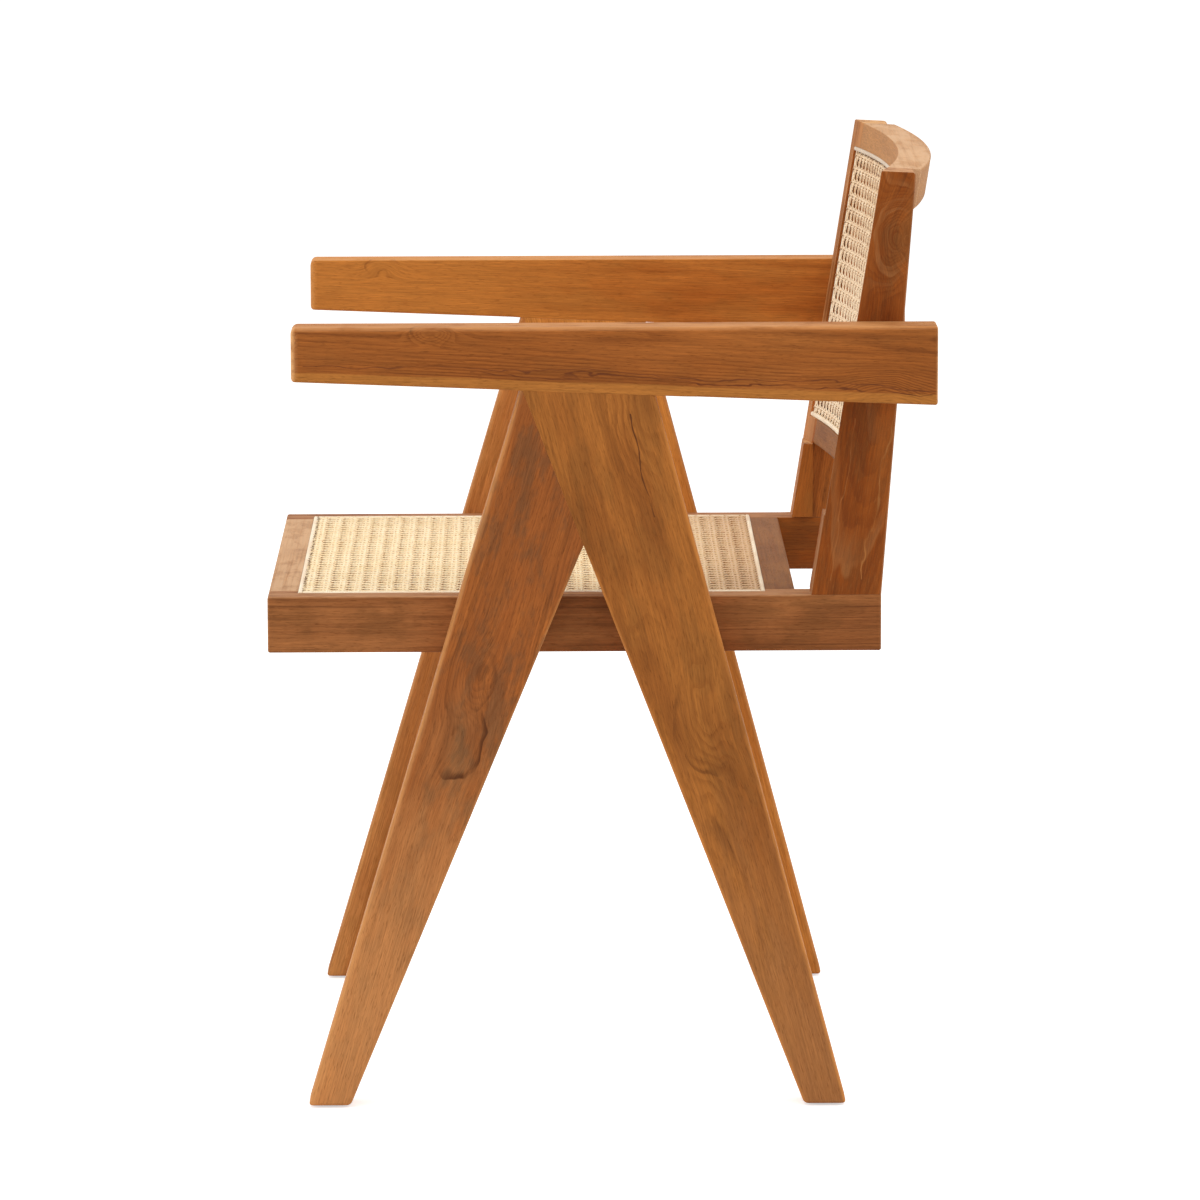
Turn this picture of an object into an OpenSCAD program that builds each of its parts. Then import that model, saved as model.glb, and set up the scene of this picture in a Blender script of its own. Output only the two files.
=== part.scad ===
// Dining armchair in oiled teak, with a woven cane seat and a bowed cane back.
// X runs to the chair's left, Y to its rear and Z up. The origin is on the floor,
// under the middle of the chair's box. All sizes are in millimetres.

/* [Seat frame] */
// Width over the outer faces of the two side rails
seat_w = 484; // [420:1:560]
// Length of the side rails, from the front edge to the foot of the back posts
seat_d = 520; // [470:1:600]
// Height of the top of the seat rails above the floor
seat_h = 435; // [400:1:470]
// Thickness of a side rail
side_rail_t = 34; // [30:1:40]
// Height of a side rail
side_rail_h = 48; // [40:1:60]
// Width of the front rail and of the rear rail, seen from above
cross_rail_w = 40; // [36:1:50]
// Height of the front rail and of the rear rail
cross_rail_h = 44; // [36:1:48]
// Distance from the rear end of the side rails to the rear face of the rear rail
rear_rail_inset = 72; // [66:1:90]

/* [Legs] */
// Thickness of the legs
leg_t = 36.5; // [30:0.5:44]
// Front edge of the front foot, ahead of the middle of the seat frame
leg_front_reach = 228; // [200:1:240]
// Rear edge of the rear foot, behind the middle of the seat frame
leg_rear_reach = 230; // [200:1:250]
// Width of each foot, seen from the side
foot_w = 36; // [28:1:44]
// Width of the front leg's end ahead of the joint under the arm
leg_tip_w = 2; // [1:0.5:12]
// Rear corner of the leg pair under the arm, behind the middle
leg_top_rear = 68; // [56:1:90]
// Height of the fork where the two legs part
fork_h = 479; // [465:1:500]
// Distance of the fork behind the middle of the seat frame
fork_y = 9.5; // [6:0.5:14]

/* [Arms] */
// Height of the top of the arms
arm_top = 668; // [640:1:700]
// Thickness of the arms
arm_t = 36.5; // [30:0.5:44]
// Front end of the arms, ahead of the middle of the seat frame
arm_front = 237; // [220:1:260]
// Rear end of the arms, behind the middle of the seat frame
arm_rear = 305; // [290:1:330]
// Height of an arm at its front end
arm_front_h = 45.5; // [38:0.5:56]
// Height of an arm at its rear end
arm_rear_h = 67; // [56:0.5:78]

/* [Back posts] */
// Height of the top of the back
back_h = 795; // [760:1:830]
// Thickness of a post
post_t = 34; // [30:1:40]
// Width of a post at its foot, seen from the side
post_foot_w = 59.5; // [52:0.5:64]
// Width of a post at its top, seen from the side
post_top_w = 30; // [26:0.5:40]
// Angle at which the front of the back leans rearward
post_lean = 9.1; // [7:0.1:12]
// Thickness of the stiles glued inside the posts
stile_t = 6; // [4:0.5:10]
// Depth of a stile behind the cane
stile_d = 24; // [20:0.5:28]
// Depth of a stile just under the lower rail
stile_neck_d = 8; // [6:0.5:14]

/* [Back rails] */
// How far the back bows to the rear between the posts
back_bow = 25; // [15:0.5:35]
// Thickness of the top rail
top_rail_t = 28.5; // [24:0.5:32]
// Height of the top rail
top_rail_h = 36; // [32:0.5:44]
// Fall of the top edge of the back towards the rear, in degrees
top_fall = 3; // [0:0.5:6]
// Thickness of the lower rail
low_rail_t = 24; // [21:0.5:30]
// Height of the lower rail
low_rail_h = 36; // [32:0.5:44]
// Height of the lower rail's underside above the floor
low_rail_z = 503; // [490:1:530]

/* [Cane] */
// Thickness of the woven cane
cane_t = 1.4; // [1:0.1:2]
// Pitch of the openings in the cane, drawn coarser than the real weave
net_pitch = 28; // [24:0.5:40]
// Width of the strands between the openings
net_strand = 11; // [6:0.5:14]
// Width of the groove that holds the cane's edge and its spline
groove_w = 5.4; // [5:0.1:7]
// Depth of the groove
groove_d = 9; // [7:0.5:11]
// Wood left outside the groove at the sides of the seat
seat_margin_x = 21.4; // [19:0.1:24]
// Wood left outside the groove at the front of the seat
seat_margin_front = 25; // [20:0.5:28]
// Wood left behind the groove at the rear of the seat
seat_margin_rear = 25.5; // [20:0.5:28]
// Wood left outside the groove on the front of the posts
back_margin_x = 14.4; // [12:0.1:17]
// Wood left above the groove of the top rail
back_margin_top = 23; // [18:0.5:25]
// Wood left below the groove of the lower rail
back_margin_low = 22.5; // [16:0.5:25]
// How far the seat splines stand above the wood
seat_spline_proud = 0.9; // [0.3:0.1:1.5]

/* [Joints] */
// Diameter of the dowels in the arms, legs and seat frame
dowel_d = 10; // [8:0.5:12]
// Diameter of the dowels in the back rails
rail_dowel_d = 8; // [6:0.5:9]
// Depth of a dowel in each piece that it joins
dowel_depth = 20; // [15:1:22]
// Diameter of the wood screws
screw_d = 5; // [4:0.5:6]
// Diameter of the screw heads
screw_head_d = 9.5; // [8.5:0.5:11]
// Depth of a screw beyond the joint
screw_bite = 24; // [16:1:28]
// Diameter of the glides under the feet
glide_d = 14; // [12:1:22]
// Thickness of the glides
glide_h = 2; // [1.5:0.5:4]
// Play between a dowel, screw or nail and its bore, across the diameter
bore_play = 0.2; // [0.1:0.05:0.4]
// Gap kept round the cane and its splines
cane_gap = 0.1; // [0.05:0.05:0.3]

/* [Hidden] */

teak = "peru";
teak_light = "burlywood";
cane_colour = "wheat";
beech = "tan";
steel = "silver";
glide_colour = "dimgray";

$fn = 24;
bow_fn = 720;

// How far a cut runs past the face that it opens
over = 1;
stile_gap = 1;

// Cross positions, all measured from the chair's middle plane
half_w = seat_w / 2;
rail_in = half_w - side_rail_t;
post_in = half_w - post_t;
stile_in = post_in - stile_t;
leg_mid = half_w + leg_t / 2;

// Seat frame
half_d = seat_d / 2;
rail_z = seat_h - side_rail_h;
front_rail_y = -half_d;
rear_rail_y = half_d - rear_rail_inset - cross_rail_w;

// The cane field of the seat runs to the outer walls of its grooves
seat_field_x = half_w - seat_margin_x;
seat_field_y0 = -half_d + seat_margin_front;
seat_field_y1 = rear_rail_y + cross_rail_w - seat_margin_rear;
cane_set = 1.2;
cane_lip = 1;
lip_clear = 1.5;
spline_clear = 0.5;

// The underside of the arm falls towards the rear
arm_len = arm_front + arm_rear;
arm_slope = (arm_rear_h - arm_front_h) / arm_len;
function arm_under(y) = arm_top - arm_front_h - arm_slope * (y + arm_front);

// Corners of the legs as [y, z] points
foot_z = glide_h;
front_toe = [-leg_front_reach, foot_z];
front_heel = [-leg_front_reach + foot_w, foot_z];
rear_toe = [leg_rear_reach - foot_w, foot_z];
rear_heel = [leg_rear_reach, foot_z];
fork = [fork_y, fork_h];
joint_run = (fork[0] - rear_toe[0]) / (fork[1] - rear_toe[1]);
joint_top_y = (fork[0] + joint_run * (arm_under(0) - fork[1])) / (1 + joint_run * arm_slope);
joint_top = [joint_top_y, arm_under(joint_top_y)];
leg_corner_front = [joint_top_y - leg_tip_w, arm_under(joint_top_y - leg_tip_w)];
leg_corner_rear = [leg_top_rear, arm_under(leg_top_rear)];
joint_angle = atan2(joint_top[1] - fork[1], joint_top[0] - fork[0]);

// The front of the back leans, and every height on it is measured from the floor
lean_run = tan(post_lean);
function post_front(z) = half_d - post_foot_w + (z - seat_h) * lean_run;
top_drop = tan(top_fall);
post_rear_top_z = back_h - post_top_w * top_drop;

// The bow is an arc that ends just inside the posts' outer front edges
bow_set = 0.4;
bow_r = (half_w * half_w + back_bow * back_bow) / (2 * back_bow);
cane_recess = 1.2;
field_set = cane_recess + cane_t;
back_field_x = half_w - back_margin_x;
back_field_z0 = low_rail_z + back_margin_low;
back_field_z1 = back_h - back_margin_top;
top_rail_z = back_h - top_rail_h;
side_spline_recess = 1.6;
rail_spline_proud = 0.2;

// The rearmost point of the back is on the top rail's rear edge
back_rear_depth = (bow_set + back_bow + top_rail_t) / cos(post_lean);
back_rear_y = (post_front(back_h) + back_rear_depth + top_drop * lean_run * post_front(back_h))
    / (1 + top_drop * lean_run);
rear_most = max(arm_rear, back_rear_y);
shift_y = (half_d - rear_most) / 2;

// Places of the dowels and screws
dowel_bore_d = dowel_d + bore_play;
rail_dowel_bore_d = rail_dowel_d + bore_play;
bore_end = 0.5;
arm_dowel_inset = 20;
arm_dowel_y = [joint_top_y + arm_dowel_inset, (joint_top_y + leg_top_rear) / 2,
               leg_top_rear - arm_dowel_inset];
joint_len = norm(joint_top - fork);
leg_dowel_run = [joint_len * 0.15, joint_len * 0.37];
seat_dowel_z = [seat_h - cross_rail_h * 0.68, seat_h - cross_rail_h * 0.36];
cross_rail_mid = [front_rail_y + cross_rail_w * 0.55, rear_rail_y + cross_rail_w * 0.45];
post_dowel_y = [half_d - post_foot_w * 0.7, half_d - post_foot_w * 0.3];
top_dowel_z = [top_rail_z + top_rail_h * 0.26, top_rail_z + top_rail_h * 0.68];
low_dowel_z = [low_rail_z + low_rail_h * 0.3, low_rail_z + low_rail_h * 0.72];
rail_dowel_wall = 2.5;
rail_dowel_back = groove_d + rail_dowel_d / 2 + rail_dowel_wall;
screw_z = rail_z + side_rail_h * 0.42;
leg_screw_off = 17;
function leg_y_at(toe, heel, top_a, top_b, z) =
    (toe[0] + (z - toe[1]) * (top_a[0] - toe[0]) / (top_a[1] - toe[1])
     + heel[0] + (z - heel[1]) * (top_b[0] - heel[0]) / (top_b[1] - heel[1])) / 2;
front_leg_screw_y = leg_y_at(front_toe, front_heel, leg_corner_front, fork, screw_z);
rear_leg_screw_y = leg_y_at(rear_toe, rear_heel, fork, leg_corner_rear, screw_z);
leg_screw_y = [front_leg_screw_y - leg_screw_off, front_leg_screw_y + leg_screw_off,
               rear_leg_screw_y - leg_screw_off, rear_leg_screw_y + leg_screw_off];
arm_screw_z = [arm_top - arm_rear_h * 0.68, arm_top - arm_rear_h * 0.3];
arm_screw_back = 31;

// A flat piece that stands in the side plane: an outline of [y, z] points, extruded in X
module side_plate(points, x, t) {
    translate([x, 0, 0])
        rotate([90, 0, 90])
            linear_extrude(height = t)
                polygon(points);
}

// A box given by its lower and its upper corner
module block(low, high) {
    translate(low)
        cube(high - low);
}

// A round bar or bore along X, from x0 to x1
module bar_x(x0, x1, y, z, d) {
    translate([x0, y, z])
        rotate([0, 90, 0])
            cylinder(d = d, h = x1 - x0);
}

// A round bar or bore along Z, from z0 to z1
module bar_z(x, y, z0, z1, d) {
    translate([x, y, z0])
        cylinder(d = d, h = z1 - z0);
}

// Places its children in the leaning frame of the back, whose Y = 0 is the posts' front
module leaning() {
    translate([0, post_front(0), 0])
        rotate([-post_lean, 0, 0])
            children();
}

// A solid cylinder whose rear wall is the bowed front of the back, moved to the rear by set
module bow_drum(set) {
    leaning()
        translate([0, bow_set + back_bow - bow_r, 0])
            cylinder(r = bow_r + set, h = back_h * 1.1, $fn = bow_fn);
}

// The part of the bowed shell between two depths that lies between two corners
module bowed(set0, set1, low, high) {
    intersection() {
        difference() {
            bow_drum(set1);
            bow_drum(set0);
        }
        block(low, high);
    }
}

back_far = back_rear_y + over;
back_near = 0;

// The side of a bowed piece that runs across the back at one height
module bowed_across(set0, set1, x, z0, z1) {
    bowed(set0, set1, [-x, back_near, z0], [x, back_far, z1]);
}

// Puts a left piece in its place
module placed() {
    translate([0, shift_y, 0])
        children();
}

// Puts the mirror image of a left piece in its place
module placed_right() {
    placed()
        mirror([1, 0, 0])
            children();
}

// Repeats its children on both sides of the chair
module both_sides() {
    placed()
        children();
    placed_right()
        children();
}

// The sunk field and the four grooves in the top of the seat rails
module seat_cane_cut() {
    low = [-seat_field_x, seat_field_y0, seat_h - cane_set];
    high = [seat_field_x, seat_field_y1, seat_h + over];
    block(low, high);
    difference() {
        block([low[0], low[1], seat_h - groove_d], high);
        block([low[0] + groove_w, low[1] + groove_w, seat_h - groove_d - over],
              [high[0] - groove_w, high[1] - groove_w, seat_h + 2 * over]);
    }
}

// The sunk field and the four grooves in the front of the back
module back_cane_cut() {
    bowed_across(-3 * over, field_set, back_field_x, back_field_z0, back_field_z1);
    difference() {
        bowed_across(-3 * over, groove_d, back_field_x, back_field_z0, back_field_z1);
        bowed_across(-4 * over, groove_d + over, back_field_x - groove_w,
                     back_field_z0 + groove_w, back_field_z1 - groove_w);
    }
}

// Everything ahead of the bowed front, from the lower rail upwards
module ahead_of_bow() {
    intersection() {
        bow_drum(0);
        block([-half_w - over, back_near, low_rail_z], [half_w + over, back_far, back_h + over]);
    }
}

// The round bores and the round bars below take the same places
module arm_dowel_bars(d, end) {
    for (y = arm_dowel_y)
        bar_z(leg_mid, y, arm_under(y) - dowel_depth - end, arm_under(y) + dowel_depth + end, d);
}

module leg_dowel_bars(d, end) {
    for (run = leg_dowel_run)
        translate([leg_mid, fork[0], fork[1]])
            rotate([joint_angle, 0, 0])
                translate([0, run, -dowel_depth - end])
                    cylinder(d = d, h = 2 * (dowel_depth + end));
}

module seat_dowel_bars(d, end) {
    for (y = cross_rail_mid, z = seat_dowel_z)
        bar_x(rail_in - dowel_depth - end, rail_in + dowel_depth + end, y, z, d);
}

module post_dowel_bars(d, end) {
    for (y = post_dowel_y)
        bar_z(half_w - post_t / 2, y, seat_h - dowel_depth - end, seat_h + dowel_depth + end, d);
}

// Centre of a back rail's dowel at one height, behind the groove
function rail_dowel_y(z) = post_front(z) + (bow_set + rail_dowel_back
    + (half_w * half_w - post_in * post_in) / (2 * bow_r)) / cos(post_lean);

module rail_dowel_bars(d, end) {
    for (z = top_dowel_z)
        bar_x(post_in - dowel_depth - end, post_in + dowel_depth + end, rail_dowel_y(z), z, d);
    for (z = low_dowel_z)
        bar_x(stile_in - dowel_depth - end, post_in + dowel_depth + end, rail_dowel_y(z), z, d);
}

// A countersunk screw along X whose head is level with the face at x0
module screw_bar(x0, x1, y, z, d, head_d, end) {
    bar_x(x0, x1 + end, y, z, d);
    translate([x0, y, z])
        rotate([0, 90, 0])
            cylinder(d1 = head_d, d2 = d, h = (head_d - d) / 2);
}

module leg_screw_bars(play, end) {
    for (y = leg_screw_y)
        screw_bar(rail_in, half_w + screw_bite, y, screw_z, screw_d + play,
                  screw_head_d + play, end);
}

module arm_screw_bars(play, end) {
    for (z = arm_screw_z)
        screw_bar(post_in, half_w + screw_bite, post_front(z) + arm_screw_back, z,
                  screw_d + play, screw_head_d + play, end);
}

foot_mid_y = [(front_toe[0] + front_heel[0]) / 2, (rear_toe[0] + rear_heel[0]) / 2];
nail_d = 2.5;
nail_len = 12;

module nail_bars(d, end) {
    for (y = foot_mid_y)
        bar_z(leg_mid, y, foot_z - glide_h / 2, foot_z + nail_len + end, d);
}

module armrest_shape() {
    color(teak)
        difference() {
            side_plate([[-arm_front, arm_under(-arm_front)], [arm_rear, arm_under(arm_rear)],
                        [arm_rear, arm_top], [-arm_front, arm_top]], half_w, arm_t);
            arm_dowel_bars(dowel_bore_d, bore_end);
            arm_screw_bars(bore_play, bore_end);
        }
}

module front_leg_shape() {
    color(teak)
        difference() {
            side_plate([front_toe, front_heel, fork, joint_top, leg_corner_front],
                       half_w, leg_t);
            leg_dowel_bars(dowel_bore_d, bore_end);
            leg_screw_bars(bore_play, bore_end);
            nail_bars(nail_d + bore_play, bore_end);
        }
}

module rear_leg_shape() {
    color(teak)
        difference() {
            side_plate([rear_toe, rear_heel, leg_corner_rear, joint_top], half_w, leg_t);
            leg_dowel_bars(dowel_bore_d, bore_end);
            arm_dowel_bars(dowel_bore_d, bore_end);
            leg_screw_bars(bore_play, bore_end);
            nail_bars(nail_d + bore_play, bore_end);
        }
}

module seat_rail_shape() {
    color(teak)
        difference() {
            block([rail_in, -half_d, rail_z], [half_w, half_d, seat_h]);
            seat_cane_cut();
            seat_dowel_bars(dowel_bore_d, bore_end);
            post_dowel_bars(dowel_bore_d, bore_end);
            leg_screw_bars(bore_play, bore_end);
        }
}

// A rail across the seat frame, whose front face is at y
module cross_rail_shape(y) {
    color(teak)
        placed()
            difference() {
                block([-rail_in, y, seat_h - cross_rail_h], [rail_in, y + cross_rail_w, seat_h]);
                seat_cane_cut();
                seat_dowel_bars(dowel_bore_d, bore_end);
                mirror([1, 0, 0])
                    seat_dowel_bars(dowel_bore_d, bore_end);
            }
}

module back_post_shape() {
    color(teak)
        difference() {
            side_plate([[post_front(seat_h), seat_h], [half_d, seat_h],
                        [post_front(back_h) + post_top_w, post_rear_top_z],
                        [post_front(back_h), back_h]], post_in, post_t);
            ahead_of_bow();
            back_cane_cut();
            rail_dowel_bars(rail_dowel_bore_d, bore_end);
            post_dowel_bars(dowel_bore_d, bore_end);
            arm_screw_bars(bore_play, bore_end);
        }
}

// The stile stands clear of the seat rail and is straight behind up to the lower rail
module back_stile_shape() {
    stile_foot_z = seat_h + stile_gap;
    step_z = low_rail_z + stile_gap;
    stile_back_y = post_front(low_rail_z) + stile_neck_d;
    color(teak)
        difference() {
            side_plate([[post_front(stile_foot_z), stile_foot_z], [stile_back_y, stile_foot_z],
                        [stile_back_y, step_z],
                        [post_front(step_z) + bow_set + stile_d + low_rail_t / 2, step_z],
                        [post_front(top_rail_z) + bow_set + stile_d, top_rail_z],
                        [post_front(top_rail_z), top_rail_z]], stile_in, stile_t);
            ahead_of_bow();
            back_cane_cut();
            rail_dowel_bars(rail_dowel_bore_d, bore_end);
        }
}

module top_back_rail_shape() {
    color(teak)
        placed()
            difference() {
                bowed_across(0, top_rail_t, post_in, top_rail_z, back_h + over);
                translate([0, post_front(back_h), back_h])
                    rotate([-top_fall, 0, 0])
                        block([-half_w, -back_h / 8, 0], [half_w, back_h / 8, 5 * over]);
                back_cane_cut();
                rail_dowel_bars(rail_dowel_bore_d, bore_end);
                mirror([1, 0, 0])
                    rail_dowel_bars(rail_dowel_bore_d, bore_end);
            }
}

module lower_back_rail_shape() {
    color(teak)
        placed()
            difference() {
                bowed_across(0, low_rail_t, stile_in, low_rail_z, low_rail_z + low_rail_h);
                back_cane_cut();
                rail_dowel_bars(rail_dowel_bore_d, bore_end);
                mirror([1, 0, 0])
                    rail_dowel_bars(rail_dowel_bore_d, bore_end);
            }
}

// A flat net: a solid rim round a grid of square openings, centred on the origin
module net_outline(w, h, open_w, open_h) {
    opening = net_pitch - net_strand;
    count_x = floor((open_w + net_strand) / net_pitch);
    count_y = floor((open_h + net_strand) / net_pitch);
    difference() {
        square([w, h], center = true);
        for (i = [0 : count_x - 1], j = [0 : count_y - 1])
            translate([(i - (count_x - 1) / 2) * net_pitch, (j - (count_y - 1) / 2) * net_pitch])
                square(opening, center = true);
    }
}

// The cane lies on the sunk field, and its lips turn down inside the grooves
module seat_cane_shape() {
    lip_out = groove_w - cane_gap - cane_lip;
    half_x = seat_field_x - lip_out;
    y0 = seat_field_y0 + lip_out;
    y1 = seat_field_y1 - lip_out;
    mid_y = (y0 + y1) / 2;
    z0 = seat_h - cane_set + cane_gap;
    open_w = 2 * rail_in - net_strand;
    open_h = rear_rail_y - front_rail_y - cross_rail_w - net_strand;
    lip_z = seat_h - groove_d + lip_clear;
    color(cane_colour)
        placed() {
            translate([0, mid_y, z0])
                linear_extrude(height = cane_t)
                    net_outline(2 * half_x, y1 - y0, open_w, open_h);
            difference() {
                block([-half_x, y0, lip_z], [half_x, y1, z0 + cane_t / 2]);
                block([-half_x + cane_lip, y0 + cane_lip, lip_z - over],
                      [half_x - cane_lip, y1 - cane_lip, z0 + cane_t]);
            }
        }
}

module back_cane_shape() {
    lip_out = groove_w - cane_gap - cane_lip;
    half_x = back_field_x - lip_out;
    z0 = back_field_z0 + lip_out;
    z1 = back_field_z1 - lip_out;
    mid_z = (z0 + z1) / 2;
    set0 = cane_recess - cane_gap;
    set1 = field_set - cane_gap;
    open_w = 2 * stile_in - net_strand;
    open_h = top_rail_z - low_rail_z - low_rail_h - net_strand;
    color(cane_colour)
        placed() {
            intersection() {
                bowed_across(set0, set1, half_x, z0, z1);
                translate([0, back_far, mid_z])
                    rotate([90, 0, 0])
                        linear_extrude(height = back_far)
                            net_outline(2 * half_x + over, z1 - z0 + over, open_w, open_h);
            }
            difference() {
                bowed_across(set0, groove_d - lip_clear, half_x, z0, z1);
                bowed_across(set0 - over, groove_d, half_x - cane_lip, z0 + cane_lip,
                             z1 - cane_lip);
            }
        }
}

spline_w = groove_w - cane_lip - 3 * cane_gap;
spline_low = seat_h - groove_d + spline_clear;

// A seat spline between two corners, seen from above
module seat_spline_bar(low, high) {
    color(teak_light)
        placed()
            block([low[0], low[1], spline_low], [high[0], high[1], seat_h + seat_spline_proud]);
}

module seat_spline_across(y) {
    half_x = seat_field_x - cane_gap;
    seat_spline_bar([-half_x, y], [half_x, y + spline_w]);
}

// The side splines run between the front and the rear spline
module seat_spline_along(x) {
    in = spline_w + 2 * cane_gap;
    seat_spline_bar([x, seat_field_y0 + in], [x + spline_w, seat_field_y1 - in]);
}

module back_spline_across(z) {
    color(teak_light)
        placed()
            bowed_across(-rail_spline_proud, groove_d - spline_clear, back_field_x - cane_gap,
                         z, z + spline_w);
}

module back_spline_along(x) {
    in = spline_w + 2 * cane_gap;
    color(teak_light)
        placed()
            bowed(side_spline_recess, groove_d - spline_clear,
                  [x, back_near, back_field_z0 + in],
                  [x + spline_w, back_far, back_field_z1 - in]);
}

module foot_glide_shape() {
    for (y = foot_mid_y)
        translate([leg_mid, y, 0])
            cylinder(d = glide_d, h = glide_h);
    nail_bars(nail_d, 0);
}

module left_armrest() { placed() armrest_shape(); }
module right_armrest() { placed_right() armrest_shape(); }
module left_front_leg() { placed() front_leg_shape(); }
module right_front_leg() { placed_right() front_leg_shape(); }
module left_rear_leg() { placed() rear_leg_shape(); }
module right_rear_leg() { placed_right() rear_leg_shape(); }
module left_seat_rail() { placed() seat_rail_shape(); }
module right_seat_rail() { placed_right() seat_rail_shape(); }
module front_seat_rail() { cross_rail_shape(front_rail_y); }
module rear_seat_rail() { cross_rail_shape(rear_rail_y); }
module left_back_post() { placed() back_post_shape(); }
module right_back_post() { placed_right() back_post_shape(); }
module left_back_stile() { placed() back_stile_shape(); }
module right_back_stile() { placed_right() back_stile_shape(); }
module top_back_rail() { top_back_rail_shape(); }
module lower_back_rail() { lower_back_rail_shape(); }
module seat_cane() { seat_cane_shape(); }
module front_seat_spline() { seat_spline_across(seat_field_y0 + cane_gap); }
module rear_seat_spline() { seat_spline_across(seat_field_y1 - cane_gap - spline_w); }
module left_seat_spline() { seat_spline_along(seat_field_x - cane_gap - spline_w); }
module right_seat_spline() { seat_spline_along(-seat_field_x + cane_gap); }
module back_cane() { back_cane_shape(); }
module top_back_spline() { back_spline_across(back_field_z1 - cane_gap - spline_w); }
module lower_back_spline() { back_spline_across(back_field_z0 + cane_gap); }
module left_back_spline() { back_spline_along(back_field_x - cane_gap - spline_w); }
module right_back_spline() { back_spline_along(-back_field_x + cane_gap); }
module arm_dowels() { color(beech) both_sides() arm_dowel_bars(dowel_d, 0); }
module leg_dowels() { color(beech) both_sides() leg_dowel_bars(dowel_d, 0); }
module seat_frame_dowels() { color(beech) both_sides() seat_dowel_bars(dowel_d, 0); }
module post_foot_dowels() { color(beech) both_sides() post_dowel_bars(dowel_d, 0); }
module back_rail_dowels() { color(beech) both_sides() rail_dowel_bars(rail_dowel_d, 0); }
module leg_screws() { color(steel) both_sides() leg_screw_bars(0, 0); }
module arm_screws() { color(steel) both_sides() arm_screw_bars(0, 0); }
module foot_glides() { color(glide_colour) both_sides() foot_glide_shape(); }

left_armrest();
right_armrest();
left_front_leg();
right_front_leg();
left_rear_leg();
right_rear_leg();
left_seat_rail();
right_seat_rail();
front_seat_rail();
rear_seat_rail();
left_back_post();
right_back_post();
left_back_stile();
right_back_stile();
top_back_rail();
lower_back_rail();
seat_cane();
front_seat_spline();
rear_seat_spline();
left_seat_spline();
right_seat_spline();
back_cane();
top_back_spline();
lower_back_spline();
left_back_spline();
right_back_spline();
arm_dowels();
leg_dowels();
seat_frame_dowels();
post_foot_dowels();
back_rail_dowels();
leg_screws();
arm_screws();
foot_glides();
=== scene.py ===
import math

import bmesh
import bpy
from mathutils import Matrix, Vector


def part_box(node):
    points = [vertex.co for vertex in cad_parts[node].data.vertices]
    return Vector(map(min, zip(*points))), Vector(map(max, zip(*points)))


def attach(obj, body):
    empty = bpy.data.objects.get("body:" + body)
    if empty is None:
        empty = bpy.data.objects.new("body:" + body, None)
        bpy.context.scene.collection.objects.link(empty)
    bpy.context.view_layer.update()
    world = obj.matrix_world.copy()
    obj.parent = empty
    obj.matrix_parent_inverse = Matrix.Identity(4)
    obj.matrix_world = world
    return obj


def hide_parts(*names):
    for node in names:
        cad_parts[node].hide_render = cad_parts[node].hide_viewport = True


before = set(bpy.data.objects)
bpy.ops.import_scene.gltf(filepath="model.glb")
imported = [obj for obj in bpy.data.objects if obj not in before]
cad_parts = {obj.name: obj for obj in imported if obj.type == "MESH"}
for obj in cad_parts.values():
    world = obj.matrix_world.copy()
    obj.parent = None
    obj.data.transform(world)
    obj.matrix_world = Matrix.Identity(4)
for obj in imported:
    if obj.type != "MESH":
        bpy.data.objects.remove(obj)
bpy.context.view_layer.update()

# Dining armchair in oiled teak with a woven cane seat and back.
# Metres, Z up, the chair faces -Y and its left side is at +X.

scene = bpy.context.scene
print("frame loaded")


def linked(name, data):
    obj = bpy.data.objects.new(name, data)
    scene.collection.objects.link(obj)
    return obj


# Camera, at the photograph's viewing angle

cameraSetup = dict(
    place=(6.0082, -0.0564, 1.3555),
    yaw=0.0090,      # to the right
    pitch=0.1589,    # downwards
    roll=-0.0028,
    lens=206.94,
    sensor=36.0,
    clip=(0.1, 200.0),
)
quarterTurn = math.pi / 2.0


def makeCamera(setup):
    data = bpy.data.cameras.new("camera")
    data.lens = setup["lens"]
    data.sensor_width = setup["sensor"]
    data.clip_start, data.clip_end = setup["clip"]
    data.dof.use_dof = False
    place = Matrix.Translation(setup["place"])
    turns = (("Z", quarterTurn - setup["yaw"]), ("X", quarterTurn - setup["pitch"]), ("Z", setup["roll"]))
    for axis, turn in turns:
        place = place @ Matrix.Rotation(turn, 4, axis)
    camera = linked("camera", data)
    camera.matrix_world = place
    scene.camera = camera


makeCamera(cameraSetup)
print("camera placed")


# Node helpers, for materials and Geometry Nodes alike. Three whole numbers stand for
# a colour on the 8-bit screen scale, so vectors are always written as decimals.

class Wire:
    # An output of a node. Arithmetic on it adds maths nodes.
    def __init__(self, tree, socket):
        self.tree = tree
        self.socket = socket

    def maths(self, operation, other=0.5):
        return addNode(self.tree, "Math", {0: self, 1: other}, operation=operation)[0]

    def __add__(self, other):
        return self.maths("ADD", other)

    def __sub__(self, other):
        return self.maths("SUBTRACT", other)

    def __rsub__(self, other):
        return addNode(self.tree, "Math", {0: other, 1: self}, operation="SUBTRACT")[0]

    def __mul__(self, other):
        return self.maths("MULTIPLY", other)

    def __truediv__(self, other):
        return self.maths("DIVIDE", other)

    def clamped(self):
        self.socket.node.use_clamp = True
        return self


def isColour(value):
    return isinstance(value, tuple) and isinstance(value[0], int)


def linearColour(value):
    shares = [part / 255.0 for part in value]
    return tuple(s / 12.92 if s <= 0.04045 else ((s + 0.055) / 1.055) ** 2.4 for s in shares) + (1.0,)


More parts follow.
